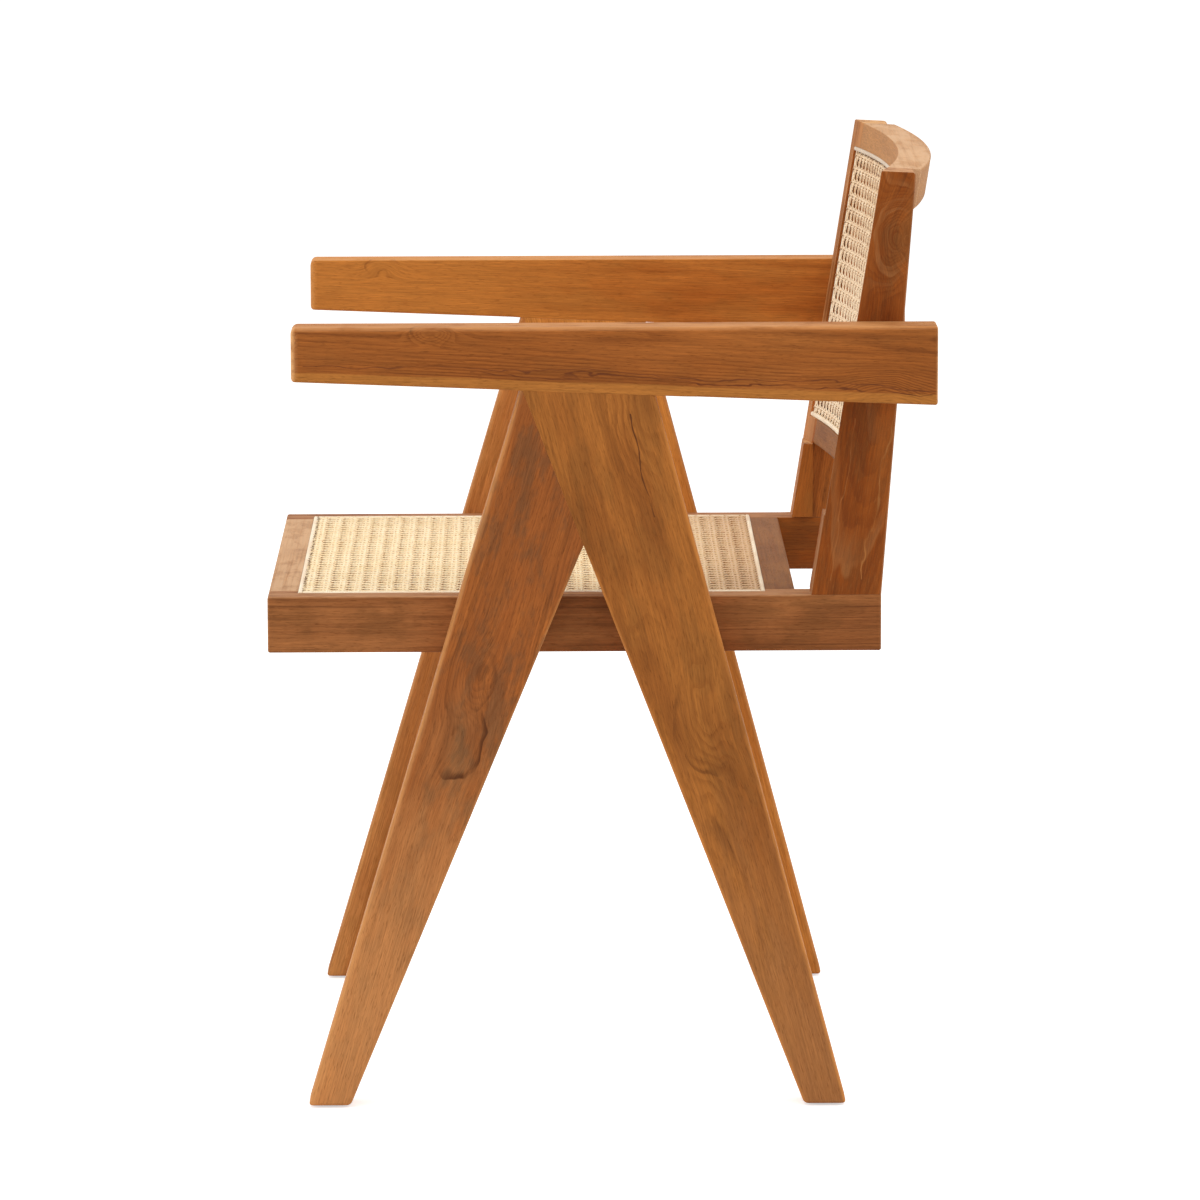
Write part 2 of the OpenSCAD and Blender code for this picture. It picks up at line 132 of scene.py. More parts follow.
def addNode(tree, kind, inputs=None, **settings):
    # Gives the new node's outputs, by number and by name.
    node = tree.nodes.new(kind if "Node" in kind else "ShaderNode" + kind)
    for key, value in settings.items():
        setattr(node, key, value)
    for key, value in (inputs or {}).items():
        if isinstance(value, Wire):
            tree.links.new(value.socket, node.inputs[key])
        else:
            node.inputs[key].default_value = linearColour(value) if isColour(value) else value
    wires = [Wire(tree, socket) for socket in node.outputs]
    return {**{wire.socket.name: wire for wire in wires}, **dict(enumerate(wires))}


def vectorMaths(operation, first, second=(0.0, 0.0, 0.0)):
    made = addNode(first.tree, "VectorMath", {0: first, 1: second}, operation=operation)
    return made[1 if operation in ("LENGTH", "DOT_PRODUCT") else 0]


def splitVector(value):
    parts = addNode(value.tree, "SeparateXYZ", {0: value})
    return [parts[axis] for axis in range(3)]


def joinVector(tree, x, y, z):
    return addNode(tree, "CombineXYZ", {0: x, 1: y, 2: z})[0]


def ramp(value, low, high, start=0.0, end=1.0):
    return addNode(value.tree, "MapRange", {0: value, 1: low, 2: high, 3: start, 4: end},
                   interpolation_type="SMOOTHSTEP")[0]


def noise(vector, stretch, detail=2.0, roughness=0.5):
    scale = stretch if isinstance(stretch, tuple) else (stretch,) * 3
    inputs = {"Vector": vectorMaths("MULTIPLY", vector, scale), "Scale": 1.0, "Detail": detail,
              "Roughness": roughness}
    return addNode(vector.tree, "TexNoise", inputs)[0]


def blend(share, first, second, blendType="MIX"):
    tree = (share if isinstance(share, Wire) else first).tree
    return addNode(tree, "Mix", {0: share, 6: first, 7: second}, data_type="RGBA",
                   blend_type=blendType)[2]


def attribute(tree, name, part):
    return addNode(tree, "Attribute", attribute_name=name)[part]


def newMaterial(name):
    # Gives the material, its empty tree and the place on the object.
    material = bpy.data.materials.new(name)
    material.use_nodes = True
    tree = material.node_tree
    tree.nodes.clear()
    return material, tree, addNode(tree, "TexCoord")["Object"]


def paint(tree, shade, rough, bump=None, others=None):
    # The shader and the output; bump is a height, a strength and a distance.
    inputs = {"Base Color": shade, "Roughness": rough, **(others or {})}
    if bump:
        inputs["Normal"] = addNode(tree, "Bump",
                                   dict(zip(("Height", "Strength", "Distance"), bump)))[0]
    shader = addNode(tree, "BsdfPrincipled", inputs)[0]
    addNode(tree, "OutputMaterial", {"Surface": shader})


# Teak. The grain is a solid pattern in board space: X along the board, Y across its
# broad face, Z through it. A knot pulls the year rings round itself, a vein is one
# thin line along the grain, and sap is the paler wood beyond a line across the board.

grainInputs = dict(
    vector=(0.0, 0.0, 0.0), facing=(0.0, 0.0, 0.0),
    light=(172, 104, 48), body=(150, 86, 37), dark=(122, 64, 24), line=(84, 42, 18),
    stain=(112, 76, 40), stainAmount=0.3, lineAmount=0.4, fineAmount=0.3, poreAmount=0.35,
    ringWidth=0.007, wave=0.02, pith=(0.0, 0.03, 0.05), tilt=0.02,
    knotPlace=(0.0, 0.0, 0.0), knotSize=0.02, knotPull=0.0, knotEdge=0.0,
    secondPlace=(0.0, 0.0, 0.0), secondSize=0.02, secondPull=0.0, secondEdge=0.0,
    vein=(80, 38, 16), veinPlace=(0.0, 1.0, 0.0), veinWidth=0.001,
    otherVein=(80, 38, 16), otherVeinPlace=(0.0, 1.0, 0.0), otherVeinWidth=0.001,
    sap=(196, 134, 68), sapFrom=1.0, sapWidth=0.006, sapAmount=0.8,
    paleEnd=(205, 142, 88), paleFrom=-10.0, paleRun=0.3,
    # painted light: the tone and shares of the painted highlight on faces turned up and to the front or rear
    topTone=(206, 158, 114), topShare=0.55, frontShare=0.45,
)


def knotPull(given, words, vector, wobble):
    # a soft hollow in the rings and a thin broken rim on one side
    place, size, pull, edge = (given[words + part] for part in ("Place", "Size", "Pull", "Edge"))
    offset = vectorMaths("MULTIPLY", vectorMaths("SUBTRACT", vector, place), (0.55, 1.0, 0.35))
    near = vectorMaths("LENGTH", offset) / size + wobble * 0.8
    bump = (near * near * -1.0).maths("EXPONENT")
    low = vectorMaths("DOT_PRODUCT", offset, (0.5, 0.87, 0.0))
    rim = ramp(near, 0.80, 0.99) * ramp(near, 1.04, 1.0) * ramp(low / size, 0.3, -0.6)
    return bump * pull, rim * edge, bump


def veinMask(given, words, parts, drift):
    start, across, end = splitVector(given[words + "Place"])
    off = (parts[1] + drift * 0.03 - across).maths("ABSOLUTE") / given[words + "Width"]
    inside = parts[0].maths("GREATER_THAN", start) * parts[0].maths("LESS_THAN", end)
    return ramp(off, 1.0, 0.3) * inside


def makeGrainGroup():
    tree = bpy.data.node_groups.new("teakGrain", "ShaderNodeTree")
    for label, value in grainInputs.items():
        kind = "Color" if isColour(value) else "Vector" if isinstance(value, tuple) else "Float"
        socket = tree.interface.new_socket(label, in_out="INPUT", socket_type="NodeSocket" + kind)
        socket.default_value = linearColour(value) if isColour(value) else value
    for label, kind in (("Color", "Color"), ("Roughness", "Float"), ("Height", "Float")):
        tree.interface.new_socket(label, in_out="OUTPUT", socket_type="NodeSocket" + kind)
    given = addNode(tree, "NodeGroupInput")
    vector = given["vector"]
    slow = noise(vector, (2.6, 12.0, 12.0), 1.5) - 0.5
    quick = noise(vector, (18.0, 60.0, 60.0), 2.5, 0.6) - 0.5
    wobble = noise(vector, (28.0, 36.0, 36.0)) - 0.5
    firstPull, firstRim, bump = knotPull(given, "knot", vector, wobble)
    secondPull, secondRim, secondBump = knotPull(given, "second", vector, wobble)
    pulls = firstPull + secondPull
    wander = slow + quick * 0.2

    # Year rings round the pith line
    parts = splitVector(vector)
    pith = splitVector(given["pith"])
    depth = parts[2] - pith[2] + parts[0] * given["tilt"]
    away = vectorMaths("LENGTH", joinVector(tree, 0.0, parts[1] - pith[1], depth))
    rings = (away + wander * given["wave"] + pulls) / given["ringWidth"]
    share = rings.maths("FRACT")
    lot = addNode(tree, "TexWhiteNoise", {"W": rings.maths("FLOOR")}, noise_dimensions="1D")[0]
    come = ramp(noise(vector, (7.0, 40.0, 40.0)), 0.36, 0.62, 0.15, 1.0)
    line = ramp(share, 0.62, 0.94) * ramp(share, 1.0, 0.95) * ramp(lot, 0.2, 1.0, 0.05, 1.0) * come
    fineShare = (rings * 4.3).maths("FRACT")
    fineLine = ramp(fineShare, 0.3, 0.9) * ramp(fineShare, 1.0, 0.92) * come

    swirl = vectorMaths("ADD", vector, joinVector(tree, 0.0, pulls * 0.8, wander * 0.02))
    fibre = noise(swirl, (26.0, 800.0, 800.0), 3.0, 0.65)
    streak = noise(swirl, (3.5, 150.0, 150.0), 3.0, 0.6)
    broad = noise(vector, (4.5, 22.0, 22.0), 2.5)
    blot = noise(vector, (16.0, 40.0, 40.0), 4.0, 0.68)
    pore = ramp(noise(swirl, (130.0, 1500.0, 1500.0), 1.0), 0.56, 0.74)

    shade = blend(ramp(broad, 0.4, 0.6), given["light"], given["body"])
    shade = blend(ramp(streak, 0.4, 0.75) * 0.5, shade, given["dark"])
    patch = ramp(blot, 0.47, 0.62) + bump * 0.8
    shade = blend((patch * given["stainAmount"]).clamped(), shade, given["stain"])
    fineAmount = given["fineAmount"] + (bump + secondBump) * 0.2
    shade = blend((fineLine * fineAmount).clamped(), shade, given["dark"])
    shade = blend(line * given["lineAmount"], shade, given["line"])
    pale = (given["paleFrom"] - parts[0]) / given["paleRun"] + quick * 0.6
    shade = blend(ramp(pale, 0.0, 1.0, 0.0, 0.75), shade, given["paleEnd"])
    sap = (parts[1] + wander * 0.012 - given["sapFrom"]) / given["sapWidth"]
    shade = blend(ramp(sap, 0.0, 1.0) * given["sapAmount"], shade, given["sap"])
    broken = ramp(noise(vector, (30.0, 60.0, 60.0)), 0.36, 0.52, 0.35, 1.0)
    shade = blend(((firstRim + secondRim) * broken).clamped(), shade, given["line"])
    drift = slow + quick * 0.6
    for words in ("vein", "otherVein"):
        shade = blend(veinMask(given, words, parts, drift) * broken, shade, given[words])
    grey = addNode(tree, "CombineColor", {0: fibre, 1: fibre, 2: fibre})[0]
    shade = blend(0.5, shade, grey, "OVERLAY")
    shade = blend(pore * given["poreAmount"], shade, given["line"])

    # Painted light: faces turned up and to the front or rear are painted paler, as lit faces and highlights,
    # but less on marks
    marks = patch * 0.45 + line * 0.6 + ramp(streak, 0.45, 0.7, 0.0, 0.35)
    facing = splitVector(given["facing"])
    paintedHighlight = (facing[2] * given["topShare"] + facing[1] * given["frontShare"]).clamped()
    shade = blend((1.0 - marks).clamped() * paintedHighlight, shade, given["topTone"])

    rough = fibre * 0.16 + pore * 0.2 + 0.58
    height = fibre * 0.5 - pore - line * 0.3
    addNode(tree, "NodeGroupOutput", {"Color": shade, "Roughness": rough, "Height": height})
    return tree


grainGroup = makeGrainGroup()


def boardTurn(along, across):
    # The turn from board space to the chair.
    along = Vector(along).normalized()
    across = (Vector(across) - along * Vector(across).dot(along)).normalized()
    return Matrix((along, across, along.cross(across))).transposed()


def teakMaterial(name, along, across, middle, grain, knots=()):
    # knots are (place on the chair, size, pull on the rings, darkness of the rim)
    material, tree, place = newMaterial(name)
    turn = boardTurn(along, across)
    values = dict(grain)
    values["vector"] = addNode(
        tree, "Mapping", {"Vector": place, "Location": middle, "Rotation": turn.to_euler()},
        vector_type="TEXTURE")[0]
    values["facing"] = attribute(tree, "facing", "Vector")
    for words, (spot, *measures) in zip(("knot", "second"), knots):
        values[words + "Place"] = turn.transposed() @ (Vector(spot) - Vector(middle))
        values.update(zip((words + "Size", words + "Pull", words + "Edge"), measures))
    made = addNode(tree, "Group", values, node_tree=grainGroup)
    paint(tree, made["Color"], made["Roughness"], (made["Height"], 0.3, 0.0003),
          {"Specular IOR Level": 0.12})
    return material


print("teak grain ready")


# Mesh helpers

def fromBmesh(name, bm):
    bmesh.ops.recalc_face_normals(bm, faces=bm.faces)
    mesh = bpy.data.meshes.new(name)
    bm.to_mesh(mesh)
    bm.free()
    return linked(name, mesh)


def fromNode(name):
    bm = bmesh.new()
    bm.from_mesh(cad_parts[name].data)
    bmesh.ops.remove_doubles(bm, verts=bm.verts, dist=1e-6)
    return bm


def applyModifiers(obj):
    graph = bpy.context.evaluated_depsgraph_get()
    made = bpy.data.meshes.new_from_object(obj.evaluated_get(graph), preserve_all_data_layers=True,
                                           depsgraph=graph)
    obj.modifiers.clear()
    old, obj.data = obj.data, made
    bpy.data.meshes.remove(old)
    made.name = obj.name


def cut(obj, cutters):
    for cutter in cutters:
        boolean = obj.modifiers.new("cut", "BOOLEAN")
        boolean.operation = "DIFFERENCE"
        boolean.solver = "EXACT"
        boolean.object = cutter
    applyModifiers(obj)


def shadeSmooth(obj, angle=35.0):
    obj.data.shade_smooth()
    obj.data.set_sharp_from_angle(angle=math.radians(angle))
    even = obj.modifiers.new("even", "WEIGHTED_NORMAL")
    even.keep_sharp = True
    applyModifiers(obj)


def fade(value, low, high):
    share = min(1.0, max(0.0, (value - low) / (high - low)))
    return share * share * (3.0 - 2.0 * share)


def lerp(first, second, share):
    return first + (second - first) * share


def loft(name, rings):
    # A closed skin over a row of rings with the same number of points.
    bm = bmesh.new()
    rows = [[bm.verts.new(point) for point in ring] for ring in rings]
    count = len(rows[0])
    for low, high in zip(rows, rows[1:]):
        for i in range(count):
            j = (i + 1) % count
            bm.faces.new((low[i], low[j], high[j], high[i]))
    bm.faces.new(list(reversed(rows[0])))
    bm.faces.new(rows[-1])
    bmesh.ops.remove_doubles(bm, verts=bm.verts, dist=1e-7)
    return fromBmesh(name, bm)


# Boards with rounded edges and ends

boardPlan = dict(
    cornerSteps=5,
    endTurns=(22.5, 45.0, 67.5, 90.0),    # where a rounded end has its rings
    leastRadius=0.0003,
    mostReach=0.48,     # of a side that one rounding may take
    closeStep=0.003,    # between rings where an edge changes
)


def sectionRing(corners, insets, radii, steps):
    # Moves each side of a section inwards by its inset, then rounds each corner by its radius.
    ahead = [(corners[(i + 1) % 4] - corner).normalized() for i, corner in enumerate(corners)]
    moved = [corner + (ahead[i] * insets[i - 1] - ahead[i - 1] * insets[i])
             / ahead[i - 1].cross(ahead[i]).length for i, corner in enumerate(corners)]
    ring = []
    for i, corner in enumerate(moved):
        toBefore, toAfter = moved[i - 1] - corner, moved[(i + 1) % 4] - corner
        reach = boardPlan["mostReach"] * min(toBefore.length, toAfter.length)
        toBefore.normalize()
        toAfter.normalize()
        half = toBefore.angle(toAfter) / 2.0
        radius = min(radii[i], reach * math.tan(half))
        centre = corner + (toBefore + toAfter).normalized() * (radius / math.sin(half))
        start, end = (corner + side * (radius / math.tan(half)) - centre for side in (toBefore, toAfter))
        swing = math.pi - 2.0 * half
        for step in range(steps + 1):
            turn = step / steps * swing
            ring.append(centre + (start * math.sin(swing - turn) + end * math.sin(turn)) / math.sin(swing))
    return ring


def roundInset(radius, depth):
    if depth >= radius or radius <= 0.0:
        return 0.0
    return radius - math.sqrt(radius * radius - (radius - depth) ** 2)


def board(name, section, length, radiiAt, startRound, endRound, spots, steps=boardPlan["cornerSteps"]):
    # section(s) gives the four corners at s metres along the board, radiiAt(s) the radii of
    # its four long edges; startRound and endRound are the radii of the four edges of each end.
    places = {0.0, length}
    for turn in boardPlan["endTurns"]:
        share = 1.0 - math.cos(math.radians(turn))
        places.add(max(startRound) * share)
        places.add(length - max(endRound) * share)
    places.update(s for s in spots if max(startRound) < s < length - max(endRound))
    rings = []
    for s in sorted(places):
        insets = [max(roundInset(a, s), roundInset(b, length - s)) for a, b in zip(startRound, endRound)]
        radii = [max(radius - max(insets[i - 1], insets[i]), boardPlan["leastRadius"])
                 for i, radius in enumerate(radiiAt(s))]
        rings.append(sectionRing(section(s), insets, radii, steps))
    return loft(name, rings)


def spread(length, count):
    return [length * i / count for i in range(count + 1)]


def around(place, first, last):
    return [place + i * boardPlan["closeStep"] for i in range(first, last)]


def boxSection(low, high, axis):
    # Gives section(s) of a box that runs along X (axis 0) or Y (axis 1).
    def section(s):
        corners = [Vector((a.x, a.y, b.z)) for a, b in ((low, low), (low, high), (high, high), (high, low))]
        for corner in corners:
            corner[axis] = low[axis] + s
        return corners
    return section


def plateCorners(ends, first, second):
    # The corners of a slice of an upright plate between two points of its side view; ends are
    # the plate's inner and outer X.
    return [Vector((ends[i], point.y, point.z))
            for i, point in ((0, first), (1, first), (1, second), (0, second))]


def finishPiece(obj, material, node, slotName):
    obj.data.materials.clear()
    obj.data.materials.append(material)
    for polygon in obj.data.polygons:
        polygon.material_index = 0
    if slotName == "teak":
        # how far each corner faces up, and to the front or rear, for the painted light and highlights on the
        # faces turned to the lamps
        facing = obj.data.attributes.new("facing", "FLOAT_VECTOR", "CORNER")
        for loop, item in zip(obj.data.corner_normals, facing.data):
            item.vector = [max(0.0, min(1.0, abs(value) * 1.6 - 0.5)) for value in loop.vector]
            if loop.vector.z < 0.0:
                item.vector.z = 0.0
    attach(obj, "root")
    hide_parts(node)


def finishBoard(name, piece, along, across, middle, grain, knots=()):
    shadeSmooth(piece)
    finishPiece(piece, teakMaterial(name + "_teak", along, across, middle, grain, knots), name, "teak")


def farthest(node, alongY, alongZ):
    # The corner of a node's side view that lies farthest in one direction.
    points = [(v.co.y, v.co.z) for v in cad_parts[node].data.vertices]
    return Vector((0.0,) + max(points, key=lambda p: p[0] * alongY + p[1] * alongZ))


def middleOf(name):
    lowest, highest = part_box(name)
    return (lowest + highest) / 2.0


# The bowed and leaning front of the back

backPlan = dict(
    footY=0.174352,    # front of the posts at the seat's height
    seatZ=0.435,
    lean=math.tan(math.radians(9.1)),
    bow=0.025,
    bowSet=0.0004,
    halfWidth=0.242,
    topZ=0.795,
    topFall=math.tan(math.radians(3.0)),
)
bowRadius = (backPlan["halfWidth"] ** 2 + backPlan["bow"] ** 2) / (2.0 * backPlan["bow"])
leanCos = 1.0 / math.sqrt(1.0 + backPlan["lean"] ** 2)


def postFront(z):
    return backPlan["footY"] + (z - backPlan["seatZ"]) * backPlan["lean"]


def backY(x, z, depth=0.0):
    arc = math.sqrt((bowRadius + depth) ** 2 - x * x) - bowRadius
    return postFront(z) + (backPlan["bowSet"] + backPlan["bow"] + arc) / leanCos


def topZ(y):
    return backPlan["topZ"] - (y - postFront(backPlan["topZ"])) * backPlan["topFall"]


def bowPoint(x, z, depth):
    # A point of the back at one depth; a height of None is the sloping top edge.
    if z is None:
        z = backPlan["topZ"]
        for step in range(3):
            z = topZ(backY(x, z, depth))
    return Vector((x, backY(x, z, depth), z))


def bowSection(x, z, depth):
    # The corners between two heights and two depths of the back.
    return [bowPoint(x, z[i], depth[j]) for i, j in ((0, 0), (1, 0), (1, 1), (0, 1))]


# Cutters for the sunk fields and the grooves of the cane

canePlan = dict(
    seatX=0.2206, seatY=(-0.261148, 0.136352),
    backX=0.2276, backZ=(0.5255, 0.772),
    grooveWidth=0.0054, grooveDepth=0.009,
    seatSink=0.0012, backSink=0.0026,
    proud=(0.001, 0.003, 0.004),    # of the seat's cutters and the back's field and grooves
)


def bowBlock(x, z, depth, stations=40):
    return loft("cutter", [bowSection(lerp(x[0], x[1], step / stations), z, depth)
                           for step in range(stations + 1)])


def flatBlock(low, high):
    return loft("cutter", [[Vector((x, low[1], low[2])), Vector((x, high[1], low[2])),
                            Vector((x, high[1], high[2])), Vector((x, low[1], high[2]))]
                           for x in (low[0], high[0])])


def seatCutters():
    x, (y0, y1), w = canePlan["seatX"], canePlan["seatY"], canePlan["grooveWidth"]
    top = backPlan["seatZ"] + canePlan["proud"][0]
    floor = backPlan["seatZ"] - canePlan["grooveDepth"]
    grooves = [((-x, y0), (x, y0 + w)), ((-x, y1 - w), (x, y1)),
               ((-x, y0 + w / 2), (-x + w, y1 - w / 2)), ((x - w, y0 + w / 2), (x, y1 - w / 2))]
    made = [flatBlock((*low, floor), (*high, top)) for low, high in grooves]
    made.append(flatBlock((-x, y0, backPlan["seatZ"] - canePlan["seatSink"]), (x, y1, top)))
    return made


def backCutters():
    x, (z0, z1), w = canePlan["backX"], canePlan["backZ"], canePlan["grooveWidth"]
    depth = (-canePlan["proud"][2], canePlan["grooveDepth"])
    made = [bowBlock((-x, x), (z0, z1), (-canePlan["proud"][1], canePlan["backSink"]))]
    made += [bowBlock((-x, x), z, depth) for z in ((z0, z0 + w), (z1 - w, z1))]
    made += [bowBlock(ends, (z0 + w / 2, z1 - w / 2), depth, 4) for ends in ((-x, -x + w), (x - w, x))]
    return made


seatCuts = seatCutters()
backCuts = backCutters()


# Looks of the boards

golden = dict(
    light=(178, 106, 46), body=(150, 84, 32), dark=(122, 64, 22), line=(76, 38, 14),
    stain=(112, 76, 36), stainAmount=0.3, lineAmount=0.35, ringWidth=0.008, wave=0.02,
    pith=(0.0, 0.02, 0.05), tilt=0.03, topTone=(204, 144, 84), topShare=0.6)
orange = dict(
    light=(208, 134, 62), body=(188, 112, 46), dark=(156, 88, 32), line=(112, 58, 22),
    stain=(142, 92, 40), stainAmount=0.25, lineAmount=0.3, ringWidth=0.006, wave=0.018,
    pith=(0.0, 0.06, 0.03), tilt=0.03, topTone=(212, 154, 96))
russet = dict(
    light=(160, 88, 32), body=(138, 69, 18), dark=(108, 50, 12), line=(72, 32, 10),
    stain=(102, 62, 28), stainAmount=0.35, lineAmount=0.35, ringWidth=0.005, wave=0.014,
    pith=(0.0, 0.05, 0.02), tilt=0.02)
tan = dict(
    light=(184, 132, 84), body=(168, 116, 70), dark=(146, 96, 56), line=(118, 74, 42),
    stain=(150, 110, 76), stainAmount=0.5, lineAmount=0.25, ringWidth=0.005, wave=0.010,
    pith=(0.0, 0.05, 0.03), tilt=0.02, poreAmount=0.12, topTone=(209, 171, 134), topShare=0.75,
    frontShare=0.0)
umber = dict(
    light=(158, 106, 68), body=(138, 88, 54), dark=(116, 70, 42), line=(90, 54, 32),
    stain=(120, 84, 58), stainAmount=0.35, lineAmount=0.3, ringWidth=0.005, wave=0.010,
    pith=(0.0, 0.05, 0.03), tilt=0.02, poreAmount=0.2, topShare=0.1, frontShare=0.0)


# Arms and legs, two flat plates on each side of the chair

sidePlates = dict(
    inner=0.242, outer=0.2785,
    armTopEdge=0.0050, armInnerEdge=0.0012, armLowEdge=0.0030, armFront=0.0066,
    armRear=0.0022, legEdge=0.0042, footEdge=0.003, jointEdge=0.0005,
    armFade=(0.012, 0.02, 0.04),    # before the joint, and from and to behind it
    legFade=0.014, forkRise=0.0050,
)


def makeArm(name, ends):
    plan = sidePlates
    low = farthest(name, -1.0, -1.0)
    lowRear = farthest(name, 1.0, -1.0)
    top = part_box(name)[1].z
    length = lowRear.y - low.y
    rearLeg = name.replace("armrest", "rear_leg")
    jointFront = farthest(rearLeg, -1.0, 0.2).y - low.y
    jointRear = farthest(rearLeg, 0.5, 1.0).y - low.y
    before, behind, beyond = plan["armFade"]

    def section(s):
        under = lerp(low, lowRear, s / length)
        return plateCorners(ends, under, Vector((0.0, under.y, top)))

    def radiiAt(s):
        joined = fade(s, jointFront - before, jointFront)
        joined *= 1.0 - fade(s, jointRear + behind, jointRear + beyond)
        edge = lerp(plan["jointEdge"], plan["armLowEdge"], 1.0 - joined)
        return [edge, edge, plan["armTopEdge"], plan["armInnerEdge"]]

    start = [plan["armLowEdge"], plan["armFront"], plan["armTopEdge"], plan["armFront"]]
    spots = spread(length, 30)
    for joint in (jointFront, jointRear + (behind + beyond) / 2.0):
        spots += around(joint, -5, 6)
    return board(name + "_wood", section, length, radiiAt, start, [plan["armRear"]] * 4, spots)


def makeLeg(name, ends):
    plan = sidePlates
    front = "front" in name
    rearLeg = name.replace("front_leg", "rear_leg")
    fork = farthest(name.replace("rear_leg", "front_leg"), 1.0, 0.0)
    toe = farthest(name, -1.0, -2.0)
    heel = farthest(name, 1.0, -2.0)
    jointTop = farthest(rearLeg, -1.0, 0.2)
    topFront = farthest(name, -0.5, 1.0) if front else jointTop
    topRear = jointTop if front else farthest(name, 0.5, 1.0)
    fork = fork + (jointTop - fork).normalized() * plan["forkRise"]
    height = topFront.z - toe.z
    forkAt = fork.z - toe.z

    def section(s):
        if not front:
            rear = lerp(heel, topRear, s / height)
        elif s <= forkAt:
            rear = lerp(heel, fork, s / forkAt)
        else:
            rear = lerp(fork, topRear, (s - forkAt) / (height - forkAt))
        return plateCorners(ends, lerp(toe, topFront, s / height), rear)

    def radiiAt(s):
        free = plan["legEdge"]
        joined = lerp(free, plan["jointEdge"], fade(s, forkAt - plan["legFade"], forkAt))
        return [free, free, joined, joined] if front else [joined, joined, free, free]

    spots = spread(height, 24) + around(forkAt, -6, 2)
    return board(name + "_wood", section, height, radiiAt, [plan["footEdge"]] * 4,
                 [plan["jointEdge"]] * 4, spots)


frontLeg = ((0.0, 0.285, 1.0), (0, -1, 0.3))     # a little steeper than the leg's front edge
rearLeg = ((0.0, -0.264, 1.0), (0, 1, 0.264))    # along the leg's rear edge
armFall = ((0.0, 1.0, -0.033), (0, 0, -1))
plateLooks = {
    "left_armrest": (
        *armFall, (0.26, 0.007, 0.6345),
        dict(golden, light=(166, 97, 42), body=(153, 86, 34), dark=(112, 58, 20), ringWidth=0.0056,
             wave=0.004, lineAmount=0.2, fineAmount=0.6, stainAmount=0.1, frontShare=1.2,
             topTone=(216, 160, 104), topShare=0.5, pith=(0.0, -0.03, 0.045), tilt=0.014,
             sapFrom=0.0135, sapWidth=0.002, sapAmount=0.55, sap=(186, 122, 54),
             vein=(104, 54, 24), veinPlace=(-0.12, 0.0122, 0.4), veinWidth=0.0005,
             otherVein=(112, 60, 28), otherVeinPlace=(-0.26, 0.009, 0.4), otherVeinWidth=0.0006),
        [((0.2785, -0.1457, 0.6651), 0.009, 0.008, 0.6), ((0.2785, 0.2342, 0.6148), 0.018, 0.008, 0.0)]),
    "right_armrest": (
        # painted shade: the far arm is darker towards the back post and paler towards the front
        *armFall, (-0.26, 0.007, 0.6345),
        dict(orange, light=(188, 113, 47), body=(166, 91, 32), dark=(138, 71, 22),
             paleEnd=(190, 120, 52), paleFrom=0.12, paleRun=0.26, pith=(0.0, 0.05, 0.02)),
        [((-0.242, -0.1964, 0.6613), 0.009, 0.012, 0.4)]),
    "left_front_leg": (
        *frontLeg, (0.26, -0.2551, 0.002),
        dict(golden, light=(182, 106, 46), body=(154, 86, 38), dark=(118, 66, 30),
             stain=(108, 72, 44), stainAmount=0.58, ringWidth=0.013, wave=0.035, lineAmount=0.4,
             pith=(0.0, -0.05, 0.06), tilt=0.07, sapFrom=-0.0095, sapWidth=0.004, sapAmount=0.35,
             sap=(206, 144, 88), frontShare=0.6, paleEnd=(202, 138, 82), paleFrom=0.42, paleRun=0.34),
        [((0.2785, -0.1226, 0.3180), 0.0205, 0.014, 0.85), ((0.2785, -0.1112, 0.3695), 0.018, -0.012, 0.3)]),
    "left_rear_leg": (
        *rearLeg, (0.26, 0.2029, 0.002),
        dict(golden, light=(170, 104, 44), body=(150, 88, 36), dark=(130, 74, 28), ringWidth=0.012,
             wave=0.03, stainAmount=0.22, pith=(0.0, -0.05, 0.05), tilt=-0.06,
             topTone=(222, 146, 72), frontShare=0.7, fineAmount=0.4, paleEnd=(164, 109, 64),
             paleFrom=0.34, paleRun=0.34, vein=(92, 50, 22), veinPlace=(0.53, -0.024, 0.62),
             veinWidth=0.0008),
        [((0.2785, 0.0843, 0.3309), 0.025, 0.012, 0.4), ((0.2785, 0.0230, 0.585), 0.028, 0.007, 0.0)]),
    "right_front_leg": (
        *frontLeg, (-0.26, -0.2551, 0.002),
        dict(orange, light=(200, 134, 74), body=(180, 112, 58), ringWidth=0.009)),
    "right_rear_leg": (
        *rearLeg, (-0.26, 0.2029, 0.002), dict(orange, ringWidth=0.008, pith=(0.0, -0.05, 0.04))),
}
for name, finish in plateLooks.items():
    side = 1.0 if name.startswith("left") else -1.0
    ends = (side * sidePlates["inner"], side * sidePlates["outer"])
    finishBoard(name, (makeArm if "armrest" in name else makeLeg)(name, ends), *finish)
print("arms and legs made")


# Seat frame

seatFrame = dict(
    topEdge=0.0022, lowEdge=0.0020, innerEdge=0.0008, endEdge=0.0020, jointEdge=0.0005,
    postFade=(-0.010, 0.002),
)


def makeSideRail(name):
    plan = seatFrame
    low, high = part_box(name)
    ends = sorted((low.x, high.x), key=abs)
    length = high.y - low.y
    postFoot = backPlan["footY"] - low.y

    def section(s):
        return plateCorners(ends, Vector((0.0, low.y + s, low.z)), Vector((0.0, low.y + s, high.z)))

    def radiiAt(s):
        under = fade(s, *(postFoot + offset for offset in plan["postFade"]))
        top = lerp(plan["topEdge"], plan["jointEdge"], under)
        return [plan["lowEdge"], plan["lowEdge"], top, plan["innerEdge"]]

    end = plan["endEdge"]
    return board(name + "_wood", section, length, radiiAt, [end] * 4, [end, end, plan["jointEdge"], end],
                 spread(length, 20) + around(postFoot, -5, 3))


